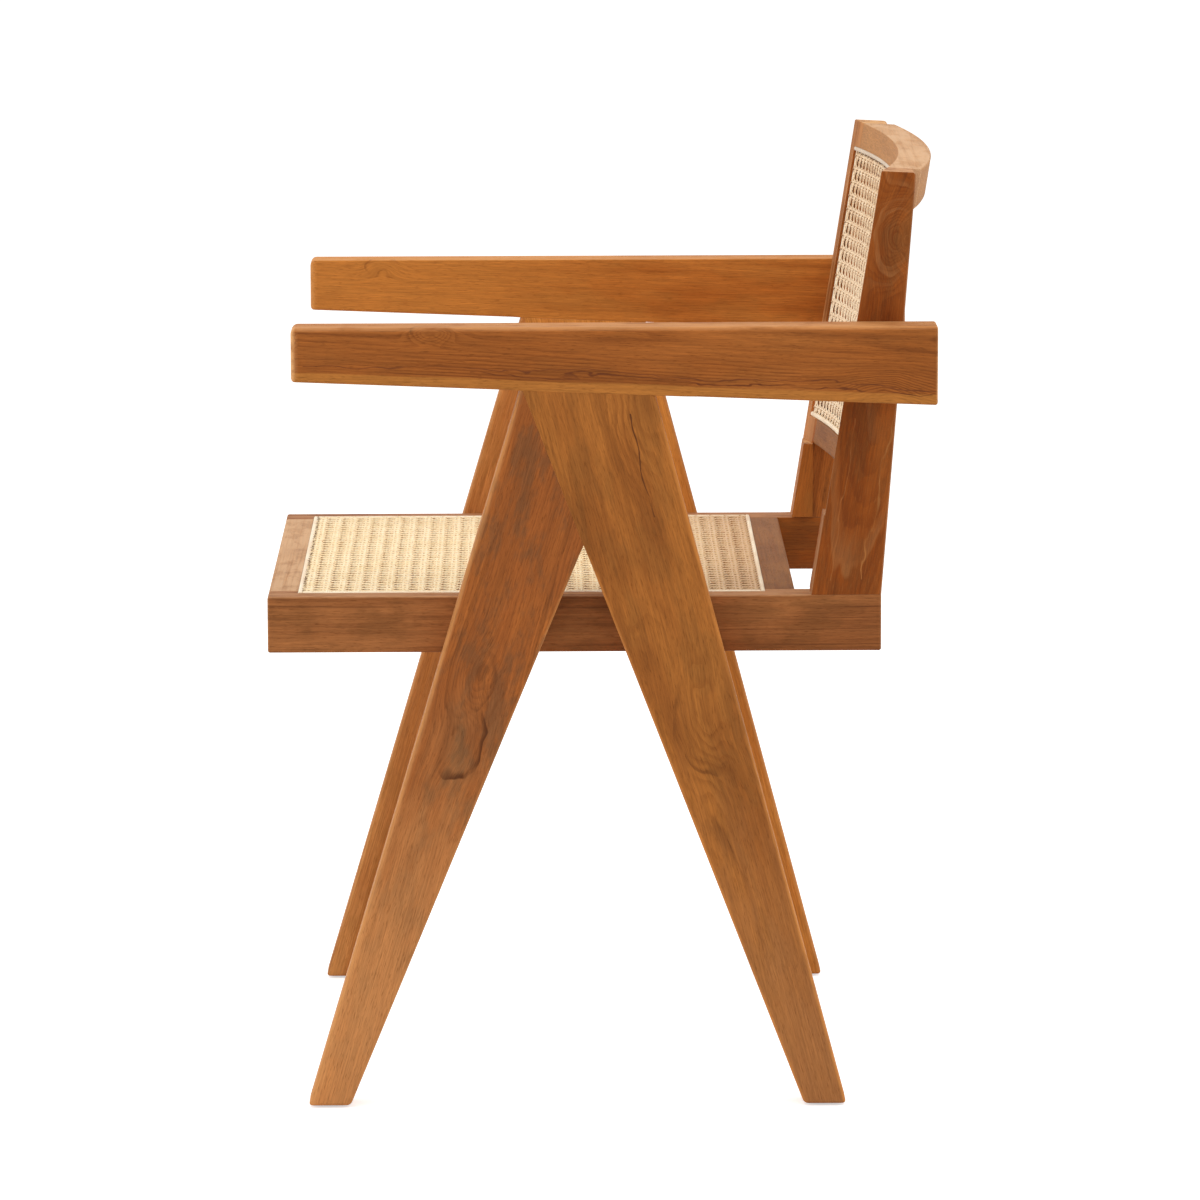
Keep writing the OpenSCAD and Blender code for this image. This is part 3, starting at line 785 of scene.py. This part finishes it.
def makeCrossRail(name):
    plan = seatFrame
    low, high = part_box(name)
    upper = [plan["topEdge"], plan["innerEdge"]]
    if not name.startswith("front"):
        upper.reverse()
    radii = [plan["lowEdge"], *upper, plan["lowEdge"]]
    ends = [plan["jointEdge"]] * 4
    length = high.x - low.x
    return board(name + "_wood", boxSection(low, high, 0), length, lambda s: radii, ends, ends,
                 spread(length, 8))


railLooks = {
    "left_seat_rail": dict(russet, light=(162, 102, 56), body=(144, 86, 44), dark=(114, 62, 28),
                           lineAmount=0.5, fineAmount=0.45),
    "right_seat_rail": dict(russet, pith=(0.0, -0.04, 0.03)),
    "front_seat_rail": dict(tan, dark=(156, 106, 64), pith=(0.0, 0.03, 0.05), lineAmount=0.05,
                            fineAmount=0.04),
    # partly painted shade: a darker brown with little painted highlight, partly the rail's own tone and
    # partly the shade under the back
    "rear_seat_rail": dict(umber, light=(140, 92, 54), body=(122, 76, 42), pith=(0.0, -0.04, 0.05),
                           tilt=0.03),
}
for name, grain in railLooks.items():
    onSide = name.startswith(("left", "right"))
    piece = (makeSideRail if onSide else makeCrossRail)(name)
    cut(piece, seatCuts)
    lay = ((0, 1, 0), (0, 0, 1)) if onSide else ((1, 0, 0), (0, 1, 0))
    finishBoard(name, piece, *lay, middleOf(name), grain)
print("seat frame made")


# Back: two posts, their stiles and two bowed rails

backWood = dict(
    postInner=0.208, postOuter=0.242, stileInner=0.202,
    postTopDepth=0.030,
    ledgeZ=0.503, topRailZ=0.759, topRailDepth=0.0285,
    lowRailZ=(0.503, 0.539), lowRailDepth=0.024,
    frontEdge=0.0008, rearEdge=0.0024, topEdge=0.0010, rearTop=0.0036, jointEdge=0.0004,
    topRailEdges=[0.0012, 0.0012, 0.0016, 0.0025], lowRailEdges=[0.0025, 0.0012, 0.0030, 0.0030],
)


def makePost(name, side):
    plan = backWood
    footZ, top = backPlan["seatZ"], backPlan["topZ"]
    rearFoot = Vector((0.0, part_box("left_seat_rail")[1].y, footZ))
    rearTopY = postFront(top) + plan["postTopDepth"]
    rearTop = Vector((0.0, rearTopY, topZ(rearTopY)))
    length = top - footZ
    ledge = plan["ledgeZ"] - footZ

    def section(s):
        z = footZ + s
        start = postFront(z)
        rear = lerp(rearFoot, rearTop, s / length).y
        tilt = (rearTop.z - top) / (rearTopY - postFront(top)) * s / length
        bowed = z > plan["ledgeZ"] + 0.00005
        corners = [("postInner", backY(plan["postInner"], z) if bowed else start),
                   ("postOuter", backY(plan["postOuter"], z) if bowed else start),
                   ("postOuter", rear), ("postInner", rear)]
        return [Vector((side * plan[edge], y, z + tilt * (y - start))) for edge, y in corners]

    radii = [plan["frontEdge"], plan["frontEdge"], plan["rearEdge"], plan["rearEdge"]]
    return board(name + "_wood", section, length, lambda s: radii, [plan["jointEdge"]] * 4,
                 [plan["topEdge"], plan["topEdge"], plan["rearTop"], plan["jointEdge"]],
                 spread(length, 24) + [ledge, ledge + 0.0001])


def bowedBar(name, x, z, depth, radii, steps=boardPlan["cornerSteps"]):
    ends = [backWood["jointEdge"]] * 4
    return board(name, lambda s: bowSection(s - x, z, depth), 2.0 * x, lambda s: radii, ends, ends,
                 spread(2.0 * x, 36), steps)


def makeBackPiece(name):
    plan = backWood
    if name.endswith("post"):
        return makePost(name, 1.0 if name.startswith("left") else -1.0)
    if name.endswith("stile"):
        return fromBmesh(name + "_wood", fromNode(name))
    if name == "top_back_rail":
        return bowedBar(name + "_wood", plan["postInner"], (plan["topRailZ"], None),
                        (0.0, plan["topRailDepth"]), plan["topRailEdges"])
    return bowedBar(name + "_wood", plan["stileInner"], plan["lowRailZ"], (0.0, plan["lowRailDepth"]),
                    plan["lowRailEdges"])


upright = ((0.0, backPlan["lean"], 1.0), (0, 1, -0.17))
backLooks = {
    "left_back_post": (
        *upright,
        dict(russet, light=(155, 84, 30), body=(133, 66, 17), line=(178, 122, 72), lineAmount=0.4,
             poreAmount=0.15, ringWidth=0.007, wave=0.012, fineAmount=0.5, pith=(0.0, 0.01, 0.05),
             tilt=0.05, topShare=0.8, vein=(158, 98, 48), veinPlace=(-0.165, 0.0265, -0.01),
             veinWidth=0.0007, otherVein=(154, 94, 48), otherVeinPlace=(-0.17, 0.002, -0.03),
             otherVeinWidth=0.0005),
        [((0.242, 0.2462, 0.7395), 0.018, 0.026, 0.3)]),
    "right_back_post": (
        *upright, dict(russet, light=(186, 108, 48), body=(170, 95, 38), pith=(0.0, 0.04, 0.03),
                       topTone=(212, 164, 112), topShare=1.0, frontShare=0.4)),
    "left_back_stile": (
        *upright, dict(golden, light=(164, 94, 36), body=(144, 80, 28), frontShare=0.0)),
    "right_back_stile": (
        *upright, dict(orange, light=(162, 90, 32), body=(144, 78, 25), frontShare=0.0)),
    "top_back_rail": (
        (-1, 0, 0), (0, -1, 0),
        dict(tan, dark=(160, 110, 66), stain=(174, 128, 88), line=(150, 104, 64),
             pith=(0.0, -0.04, -0.03), stainAmount=0.2, lineAmount=0.03, fineAmount=0.15,
             # painted light: the rail's end face at the left post is painted paler
             paleEnd=(216, 174, 134), paleFrom=-0.2064, paleRun=0.001)),
    "lower_back_rail": (
        (1, 0, 0), (0, 0, 1), dict(umber, light=(154, 104, 64), body=(130, 82, 50), topShare=0.3)),
}
for name, (along, across, grain, *knots) in backLooks.items():
    piece = makeBackPiece(name)
    if "stile" not in name:
        cut(piece, backCuts)
    finishBoard(name, piece, along, across, middleOf(name), grain, *knots)
for cutter in seatCuts + backCuts:
    bpy.data.objects.remove(cutter)
print("back made")


# Reed splines, which hold the edges of the cane in the grooves

splinePlan = dict(
    width=0.0041, gap=0.0001, low=0.4265, top=0.4359, crown=0.0016, lowEdge=0.0006,
    backProud=-0.0002, sideRecess=0.0016, backFoot=0.0085,
    seatEnds=[0.0004, 0.0008, 0.0004, 0.0004], backEnds=[0.0004] * 4, cornerSteps=4,
)
crown, lowEdge = splinePlan["crown"], splinePlan["lowEdge"]
backLow, backHigh = canePlan["backZ"]


def fleckedMaterial(name, plan, pale, body):
    # Two tones in soft patches, under fine darker flecks.
    material, tree, place = newMaterial(name)
    patch = noise(place, plan["patchScale"])
    fleck = noise(place, plan["fleckScale"], 2.0, 0.6)
    shade = blend(ramp(patch, 0.35, plan["patchTo"]), pale, body)
    shade = blend(ramp(fleck, *plan["fleckRamp"]) * 0.5, shade, plan["fleck"])
    paint(tree, shade, ramp(fleck, 0.2, 0.8, *plan["rough"]), plan["bump"] and (fleck, *plan["bump"]))
    return material


reedLook = dict(patchScale=22.0, patchTo=0.7, fleckScale=420.0, fleckRamp=(0.55, 0.8),
                fleck=(196, 160, 122), rough=(0.42, 0.62), bump=(0.3, 0.0002))
reed = fleckedMaterial("reed_spline", reedLook, (248, 234, 206), (236, 212, 178))
# painted shade: a darker, greyer copy of the reed for the top spline of the back
shadedReed = fleckedMaterial("grey_reed_spline", reedLook, (216, 198, 174), (206, 184, 158))


def seatSpline(name):
    plan = splinePlan
    low, high = (Vector((end.x, end.y, z)) for end, z in zip(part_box(name), (plan["low"], plan["top"])))
    axis = 0 if name.startswith(("front", "rear")) else 1
    length = high[axis] - low[axis]
    return board(name + "_reed", boxSection(low, high, axis), length,
                 lambda s: [lowEdge, crown, crown, lowEdge], plan["seatEnds"], plan["seatEnds"],
                 spread(length, 16), plan["cornerSteps"])


def levelBackSpline(name):
    plan = splinePlan
    z = backHigh - plan["gap"] - plan["width"] if name.startswith("top") else backLow + plan["gap"]
    return bowedBar(name + "_reed", canePlan["backX"] - plan["gap"], (z, z + plan["width"]),
                    (plan["backProud"], plan["backFoot"]), [crown, crown, lowEdge, lowEdge],
                    plan["cornerSteps"])


def uprightBackSpline(name):
    plan = splinePlan
    low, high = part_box(name)
    inset = plan["width"] + 3.0 * plan["gap"]
    length = backHigh - backLow - 2.0 * inset

    def section(s):
        corners = ((low.x, plan["sideRecess"]), (high.x, plan["sideRecess"]),
                   (high.x, plan["backFoot"]), (low.x, plan["backFoot"]))
        return [bowPoint(x, backLow + inset + s, depth) for x, depth in corners]

    return board(name + "_reed", section, length, lambda s: [crown, crown, lowEdge, lowEdge],
                 plan["backEnds"], plan["backEnds"], spread(length, 10), plan["cornerSteps"])


splineMakers = {
    seatSpline: ("front_seat_spline", "rear_seat_spline", "left_seat_spline", "right_seat_spline"),
    levelBackSpline: ("lower_back_spline", "top_back_spline"),
    uprightBackSpline: ("left_back_spline", "right_back_spline"),
}
for make, names in splineMakers.items():
    for name in names:
        piece = make(name)
        shadeSmooth(piece, 50.0)
        finishPiece(piece, shadedReed if name == "top_back_spline" else reed, name, "reed")
print("splines made")


# Woven cane. One cell of the six-way weave is set out on a grid by Geometry Nodes.

weave = dict(
    cell=0.0128,          # pitch of the drawn cell
    seat=dict(
        pair=0.00165,     # half the distance between the two strands of a pair
        strand=0.0028,    # width of the straight strands
        slant=0.0027,     # width of the slanting strands
        thick=0.0014,
        rise=0.00035,     # how far the straight strands weave up and down
        slantRise=0.0004,
    ),
    back=dict(pair=0.00135, strand=0.0025, slant=0.0023, thick=0.0009, rise=0.0003,
              slantRise=0.0005),
    seatCells=(34, 29), seatHeight=0.4348,
    backCells=(35, 20), backDepth=0.0018,
    weld=0.00002,
    strayScale=38.0, stray=(0.0016, 0.0016, 0.0004),    # hand-woven strands are never quite straight
)


def strand(bm, kind, points, width, thick):
    # A flat strand with a lens section along a row of points.
    layer = bm.verts.layers.float["strand"]
    rim = bm.verts.layers.float["rim"]
    ahead = (points[-1] - points[0]).normalized()
    sideways = Vector((-ahead.y, ahead.x, 0.0)) * width / 2.0
    lift = Vector((0.0, 0.0, thick / 2.0))
    rows = []
    for point in points:
        row = [bm.verts.new(point + offset) for offset in (sideways, lift, -sideways, -lift)]
        for vert, edge in zip(row, (1.0, 0.0, 1.0, 0.0)):
            vert[layer] = kind
            vert[rim] = edge
        rows.append(row)
    for first, second in zip(rows, rows[1:]):
        for i in range(4):
            j = (i + 1) % 4
            bm.faces.new((first[i], second[i], second[j], first[j]))


def weaveCell(name, plan):
    bm = bmesh.new()
    bm.verts.layers.float.new("strand")
    bm.verts.layers.float.new("rim")
    half, a, rise, thick = weave["cell"] / 2.0, plan["pair"], plan["rise"], plan["thick"]
    for sign in (-1.0, 1.0):
        stops = [(-half, 0.0), (-a, rise * sign), (a, -rise * sign), (half, 0.0)]
        strand(bm, 0.0, [Vector((sign * a, s, z)) for s, z in stops], plan["strand"], thick)
        strand(bm, 1.0, [Vector((s, sign * a, z)) for s, z in stops], plan["strand"], thick)
    shares = [(0.0, 1.0), (0.31, 0.8), (0.69, -0.8), (1.0, -1.0)]
    for sideX, sideY in ((-1.0, -1.0), (-1.0, 1.0), (1.0, -1.0), (1.0, 1.0)):
        # one diagonal lies over the level pairs, the other over the upright pairs
        over = -sideX * sideY
        atX, atY = Vector((sideX * half, 0.0, 0.0)), Vector((0.0, sideY * half, 0.0))
        points = [lerp(atY, atX, share) - Vector((0.0, 0.0, plan["slantRise"] * level * over))
                  for share, level in shares]
        strand(bm, 2.0 if over > 0.0 else 3.0, points, plan["slant"], thick)
    return fromBmesh(name, bm)


def geometryTree(name, inputs):
    tree = bpy.data.node_groups.new(name, "GeometryNodeTree")
    tree.is_modifier = True
    sockets = {}
    for label, kind in (("Geometry", "Geometry"), *inputs):
        socket = tree.interface.new_socket(label, in_out="INPUT", socket_type="NodeSocket" + kind)
        sockets[label] = socket.identifier
    tree.interface.new_socket("Geometry", in_out="OUTPUT", socket_type="NodeSocketGeometry")
    return tree, sockets, addNode(tree, "NodeGroupInput")


def geometryNode(tree, kind, **inputs):
    return addNode(tree, "GeometryNode" + kind, inputs)[0]


def placeOn(tree, points, **inputs):
    # Sets an instance on each point and makes the whole real.
    placed = geometryNode(tree, "InstanceOnPoints", Points=points, **inputs)
    return geometryNode(tree, "RealizeInstances", Geometry=placed)


def endTree(tree, geometry, material):
    painted = geometryNode(tree, "SetMaterial", Geometry=geometry, Material=material)
    addNode(tree, "NodeGroupOutput", {"Geometry": painted})


def makeWeaveTree(bowed):
    tree, sockets, given = geometryTree("bowedWeave" if bowed else "flatWeave", (
        ("Cells Across", "Int"), ("Cells Along", "Int"), ("Width", "Float"), ("Length", "Float"),
        ("Cell", "Float"), ("Centre", "Vector"), ("Depth", "Float"), ("Material", "Material")))
    stepX = given["Width"] / given["Cells Across"]
    stepY = given["Length"] / given["Cells Along"]
    grid = addNode(tree, "GeometryNodeMeshGrid", {
        "Size X": given["Width"] - stepX, "Size Y": given["Length"] - stepY,
        "Vertices X": given["Cells Across"], "Vertices Y": given["Cells Along"]})[0]
    scale = joinVector(tree, stepX / given["Cell"], stepY / given["Cell"], 1.0)
    whole = placeOn(tree, grid, Instance=given["Geometry"], Scale=scale)
    joined = geometryNode(tree, "MergeByDistance", Geometry=whole, Distance=weave["weld"])
    point = geometryNode(tree, "InputPosition")
    stray = addNode(tree, "TexNoise", {"Vector": point, "Scale": weave["strayScale"], "Detail": 1.0})[1]
    stray = vectorMaths("MULTIPLY", vectorMaths("SUBTRACT", stray, (0.5, 0.5, 0.5)), weave["stray"])
    point = vectorMaths("ADD", point, stray)
    if bowed:
        x, y, z = splitVector(point)
        height = y + splitVector(given["Centre"])[2]
        radius = given["Depth"] + bowRadius - z
        arc = (radius * radius - x * x).maths("SQRT") - (bowRadius - backPlan["bow"] - backPlan["bowSet"])
        lean = (height - backPlan["seatZ"]) * backPlan["lean"]
        point = joinVector(tree, x, arc / leanCos + (lean + backPlan["footY"]), height)
    else:
        point = vectorMaths("ADD", point, given["Centre"])
    moved = geometryNode(tree, "SetPosition", Geometry=joined, Position=point)
    endTree(tree, geometryNode(tree, "SetShadeSmooth", Geometry=moved), given["Material"])
    return tree, sockets


def settle(obj, tree, sockets, values):
    # Runs a Geometry Nodes tree on an object and keeps the result as a plain mesh.
    modifier = obj.modifiers.new(tree.name, "NODES")
    modifier.node_group = tree
    for label, value in values.items():
        modifier[sockets[label]] = value
    applyModifiers(obj)


caneLooks = dict(
    seat=dict(pale=(247, 231, 196), body=(242, 222, 180), slant=(252, 219, 166),
              rim=(192, 130, 66), slantEdgeShade=(144, 80, 38), fleck=(198, 138, 80),
              far=(206, 164, 122), axis=1, grooveShadow=-0.2570, grooveShadowTurn=1.0,
              fade=(0.02, 0.13), paintedLightShare=0.75, paintedLightRim=1.6),
    back=dict(pale=(248, 222, 186), body=(232, 199, 160), slant=(226, 190, 146),
              rim=(160, 110, 66), slantEdgeShade=(140, 92, 54), fleck=(186, 132, 92),
              far=(255, 234, 202), axis=2, grooveShadow=0.7680, grooveShadowTurn=-1.0,
              fade=(0.74, 0.62), paintedLightShare=0.8, paintedLightRim=0.35),
    grooveShadowTone=(96, 58, 26),
)


def makeCaneMaterial(name, plan):
    # Paler and darker strands, painted shade on the strand edges where the strands shade each other, painted
    # light towards one end, and a row of painted groove shadow beside one spline.
    material, tree, place = newMaterial(name)
    kind = attribute(tree, "strand", "Fac")
    rim = attribute(tree, "rim", "Fac")
    patch = noise(place, 42.0, 3.0, 0.65)
    fleck = noise(place, 340.0, 3.0, 0.65)
    along = splitVector(place)[plan["axis"]]
    shade = blend(ramp(patch, 0.4, 0.65), plan["pale"], plan["body"])
    shade = blend(ramp(kind, 1.0, 2.0, 0.0, 0.7), shade, plan["slant"])
    # painted light: on the seat a painted shadow of the back, darker towards the rear, and on the back the
    # cane painted paler towards the bottom
    far = ramp(along, *plan["fade"])
    shade = blend(far * plan["paintedLightShare"], shade, plan["far"])
    # painted shade on the strand edges, where the strands shade one another
    edge = ramp(rim, 0.45, 1.0) * ramp(fleck, 0.42, 0.6, 0.0, 0.85)
    edge = edge * ramp(far, 0.0, 1.0, 1.0, plan["paintedLightRim"])
    shade = blend(edge, shade, blend(ramp(kind, 1.0, 2.0), plan["rim"], plan["slantEdgeShade"]))
    shade = blend(ramp(fleck, 0.52, 0.75) * 0.6, shade, plan["fleck"])
    # painted shadow of the groove: a row of dark dashes just inside one spline
    inward = (along - plan["grooveShadow"]) * plan["grooveShadowTurn"]
    grooveShadow = ramp(inward, 0.0024, 0.0012) * ramp(fleck, 0.42, 0.56)
    shade = blend(grooveShadow * 0.85, shade, caneLooks["grooveShadowTone"])
    paint(tree, shade, ramp(fleck, 0.3, 0.8, 0.4, 0.62), (fleck, 0.25, 0.0002),
          {"Specular IOR Level": 0.25})
    return material


def capStrands(obj):
    # Closes the cut ends of the strands round the panel.
    bm = bmesh.new()
    bm.from_mesh(obj.data)
    rim = [edge for edge in bm.edges if edge.is_boundary]
    bmesh.ops.holes_fill(bm, edges=rim, sides=8)
    bmesh.ops.recalc_face_normals(bm, faces=bm.faces)
    bm.to_mesh(obj.data)
    bm.free()


def makeCane(part, width, length, centre, depth):
    # part is "seat" or "back"; width and length are those between the grooves' outer walls.
    cane = makeCaneMaterial(part + "_cane_weave", caneLooks[part])
    piece = weaveCell(part + "_weave", weave[part])
    cellsAcross, cellsAlong = weave[part + "Cells"]
    settle(piece, *makeWeaveTree(part == "back"), {
        "Cells Across": cellsAcross, "Cells Along": cellsAlong, "Width": width - canePlan["grooveWidth"],
        "Length": length - canePlan["grooveWidth"], "Cell": weave["cell"], "Centre": centre,
        "Depth": depth, "Material": cane})
    capStrands(piece)
    finishPiece(piece, cane, part + "_cane", "cane")
    print(part, "cane woven:", len(piece.data.polygons), "faces")


seatFront, seatRear = canePlan["seatY"]
makeCane("seat", 2.0 * canePlan["seatX"], seatRear - seatFront,
         (0.0, (seatFront + seatRear) / 2.0, weave["seatHeight"]), 0.0)
makeCane("back", 2.0 * canePlan["backX"], backHigh - backLow, (0.0, 0.0, (backLow + backHigh) / 2.0),
         weave["backDepth"])


# Screws and glides, set on points by Geometry Nodes

fixingPlan = dict(
    headWidth=0.0095, headEdge=0.0003, shank=0.005, headDepth=0.00225,
    slotLength=0.0052, slotWidth=0.0011, slotDepth=0.0014, slotRise=0.001,
    plainShank=0.012, point=0.006, tip=0.0002, threadPitch=0.0018, threadDepth=0.0005,
    glideWidth=0.014, glideHeight=0.002, nail=0.0025, nailLength=0.012, nailPoint=0.003,
    dome=((0.55, 0.0), (0.84, 0.12), (0.97, 0.42), (1.0, 0.7), (1.0, 1.0)),
)


def lathe(name, profile, steps=28):
    # A closed round shape from a profile of (radius, height) points.
    turns = [2.0 * math.pi * i / steps for i in range(steps)]
    return loft(name, [[(radius * math.cos(turn), radius * math.sin(turn), height) for turn in turns]
                       for radius, height in profile])


def screwShape(length):
    # A countersunk cross-slot wood screw with its head at the origin, pointing along Z.
    plan = fixingPlan
    head, shank = plan["headWidth"] / 2.0, plan["shank"] / 2.0
    groove = shank - plan["threadDepth"]
    profile = [(head - plan["headEdge"], 0.0), (head, 0.0002), (shank, plan["headDepth"])]
    z = plan["headDepth"] + plan["plainShank"]
    while z < length - plan["point"]:
        profile += [(groove, z), (shank, z + plan["threadPitch"] / 2.0)]
        z += plan["threadPitch"]
    screw = lathe("screw", profile + [(groove, z), (plan["tip"], length)])
    reach, width = plan["slotLength"] / 2.0, plan["slotWidth"] / 2.0
    slots = [flatBlock((-x, -y, -plan["slotRise"]), (x, y, plan["slotDepth"]))
             for x, y in ((reach, width), (width, reach))]
    cut(screw, slots)
    for slot in slots:
        bpy.data.objects.remove(slot)
    shadeSmooth(screw, 30.0)
    return screw


def glideShape():
    # A domed nail-on glide that stands on the floor.
    plan = fixingPlan
    wide, tall, nail = plan["glideWidth"] / 2.0, plan["glideHeight"], plan["nail"] / 2.0
    profile = [(wide * radius, tall * height) for radius, height in plan["dome"]]
    profile += [(nail, tall), (nail, tall + plan["nailLength"] - plan["nailPoint"]),
                (plan["tip"], tall + plan["nailLength"])]
    glide = lathe("glide", profile, 36)
    shadeSmooth(glide, 40.0)
    return glide


def makeFixingTree():
    tree, sockets, given = geometryTree("fixingsOnPoints", (("Shape", "Object"), ("Material", "Material")))
    shape = addNode(tree, "GeometryNodeObjectInfo", {"Object": given["Shape"]})["Geometry"]
    turn = addNode(tree, "GeometryNodeInputNamedAttribute", {"Name": "turn"}, data_type="FLOAT_VECTOR")[0]
    endTree(tree, placeOn(tree, given["Geometry"], Instance=shape, Rotation=turn), given["Material"])
    return tree, sockets


def isles(node):
    # The box of each separate solid of a node.
    bm = fromNode(node)
    left = set(bm.verts)
    found = []
    while left:
        isle = [left.pop()]
        for vert in isle:
            near = {edge.other_vert(vert) for edge in vert.link_edges} & left
            left -= near
            isle += near
        found.append([Vector([pick(v.co[i] for v in isle) for i in range(3)]) for pick in (min, max)])
    bm.free()
    return sorted(found, key=lambda ends: [round(value, 4) for value in ends[0]])


def plainMetal(name, shade, grit, rough, metallic):
    material, tree, place = newMaterial(name)
    fleck = noise(place, 900.0, 3.0, 0.6)
    paint(tree, blend(ramp(fleck, 0.4, 0.7), shade, grit), ramp(fleck, 0.3, 0.8, rough, rough + 0.18),
          (fleck, 0.2, 0.0001), {"Metallic": metallic})
    return material


def setFixings(node, shape, points, turns, material, slotName):
    mesh = bpy.data.meshes.new(node + "_set")
    mesh.from_pydata(points, [], [])
    for item, turn in zip(mesh.attributes.new("turn", "FLOAT_VECTOR", "POINT").data, turns):
        item.vector = turn
    piece = linked(node + "_set", mesh)
    settle(piece, fixingTree, fixingSockets, {"Shape": shape, "Material": material})
    bpy.data.objects.remove(shape)
    finishPiece(piece, material, node, slotName)


screwSteel = plainMetal("zinc_plated_steel", (206, 204, 198), (178, 174, 162), 0.28, 1.0)
glideNylon = plainMetal("glide_nylon", (58, 54, 50), (40, 37, 34), 0.5, 0.0)
fixingTree, fixingSockets = makeFixingTree()
for node in ("leg_screws", "arm_screws"):
    boxes = isles(node)
    points, turns = [], []
    for low, high in boxes:
        # the heads lie on the side of the chair's middle and the screws point outwards
        left = low.x > 0.0
        points.append((low.x if left else high.x, (low.y + high.y) / 2.0, (low.z + high.z) / 2.0))
        turns.append((0.0, quarterTurn if left else -quarterTurn, 0.0))
    setFixings(node, screwShape(boxes[0][1].x - boxes[0][0].x), points, turns, screwSteel, "screw_steel")
feet = [((low.x + high.x) / 2.0, (low.y + high.y) / 2.0, low.z) for low, high in isles("foot_glides")]
setFixings("foot_glides", glideShape(), feet, [(0.0, 0.0, 0.0)] * len(feet), glideNylon, "glide")
print("screws and glides set")


# Dowels stay as the CAD draws them, in beech

beechLook = dict(patchScale=60.0, patchTo=0.65, fleckScale=500.0, fleckRamp=(0.58, 0.75),
                 fleck=(168, 122, 84), rough=(0.55, 0.7), bump=None)
beech = fleckedMaterial("beech_dowel", beechLook, (222, 188, 148), (206, 168, 128))
for name in ("arm_dowels", "leg_dowels", "seat_frame_dowels", "post_foot_dowels", "back_rail_dowels"):
    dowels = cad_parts[name]
    dowels.data.materials.clear()
    dowels.data.materials.append(beech)
print("dowels painted")


# Studio: a pale floor, a dim even world and large soft lamps

studio = dict(
    floorSize=60.0, floorColour=(0.90, 0.90, 0.90, 1.0), floorRough=0.9, floorWhite=0.55,
    world=0.62, white=(1.0, 1.0, 1.0, 1.0),
    lamps=[    # name, place, aim, size and power
        ("overhead", (0.4, 0.0, 3.6), (0.0, 0.0, 0.4), 4.0, 75.0),
        ("front", (1.8, -4.0, 1.9), (0.0, 0.0, 0.5), 3.0, 60.0),
        ("rear", (1.2, 4.0, 2.0), (0.0, 0.0, 0.5), 3.0, 36.0),
    ],
)


def whiteRays(tree):
    # the rays that meet the studio as plain white
    rays = addNode(tree, "LightPath")
    seen = rays["Is Camera Ray"].maths("MAXIMUM", rays["Is Glossy Ray"])
    return seen.maths("MAXIMUM", rays["Is Transmission Ray"])


def makeFloor(setup):
    half = setup["floorSize"] / 2.0
    mesh = bpy.data.meshes.new("floor")
    corners = [(half * x, half * y, 0.0) for x, y in ((-1, -1), (1, -1), (1, 1), (-1, 1))]
    mesh.from_pydata(corners, [], [(0, 1, 2, 3)])
    floor = linked("floor", mesh)
    material, tree, place = newMaterial("studio_floor")
    shader = addNode(tree, "BsdfPrincipled", {
        "Base Color": setup["floorColour"], "Roughness": setup["floorRough"], "Specular IOR Level": 0.0})[0]
    glow = addNode(tree, "Emission", {"Color": setup["white"],
                                                "Strength": whiteRays(tree) * setup["floorWhite"]})[0]
    both = addNode(tree, "AddShader", {0: shader, 1: glow})[0]
    addNode(tree, "OutputMaterial", {"Surface": both})
    floor.data.materials.append(material)


def makeWorld(setup):
    world = bpy.data.worlds.new("studio")
    world.use_nodes = True
    scene.world = world
    tree = world.node_tree
    tree.nodes.clear()
    strength = whiteRays(tree) * (1.0 - setup["world"]) + setup["world"]
    sky = addNode(tree, "Background", {"Color": setup["white"], "Strength": strength})[0]
    addNode(tree, "OutputWorld", {"Surface": sky})


def makeLamps(setup):
    for name, place, aim, size, power in setup["lamps"]:
        data = bpy.data.lights.new(name, "AREA")
        data.shape = "SQUARE"
        data.size = size
        data.energy = power
        towards = (Vector(aim) - Vector(place)).to_track_quat("-Z", "Y")
        linked(name, data).matrix_world = Matrix.Translation(place) @ towards.to_matrix().to_4x4()


makeFloor(studio)
makeWorld(studio)
makeLamps(studio)
scene.view_settings.view_transform = "Standard"
print("studio lit")
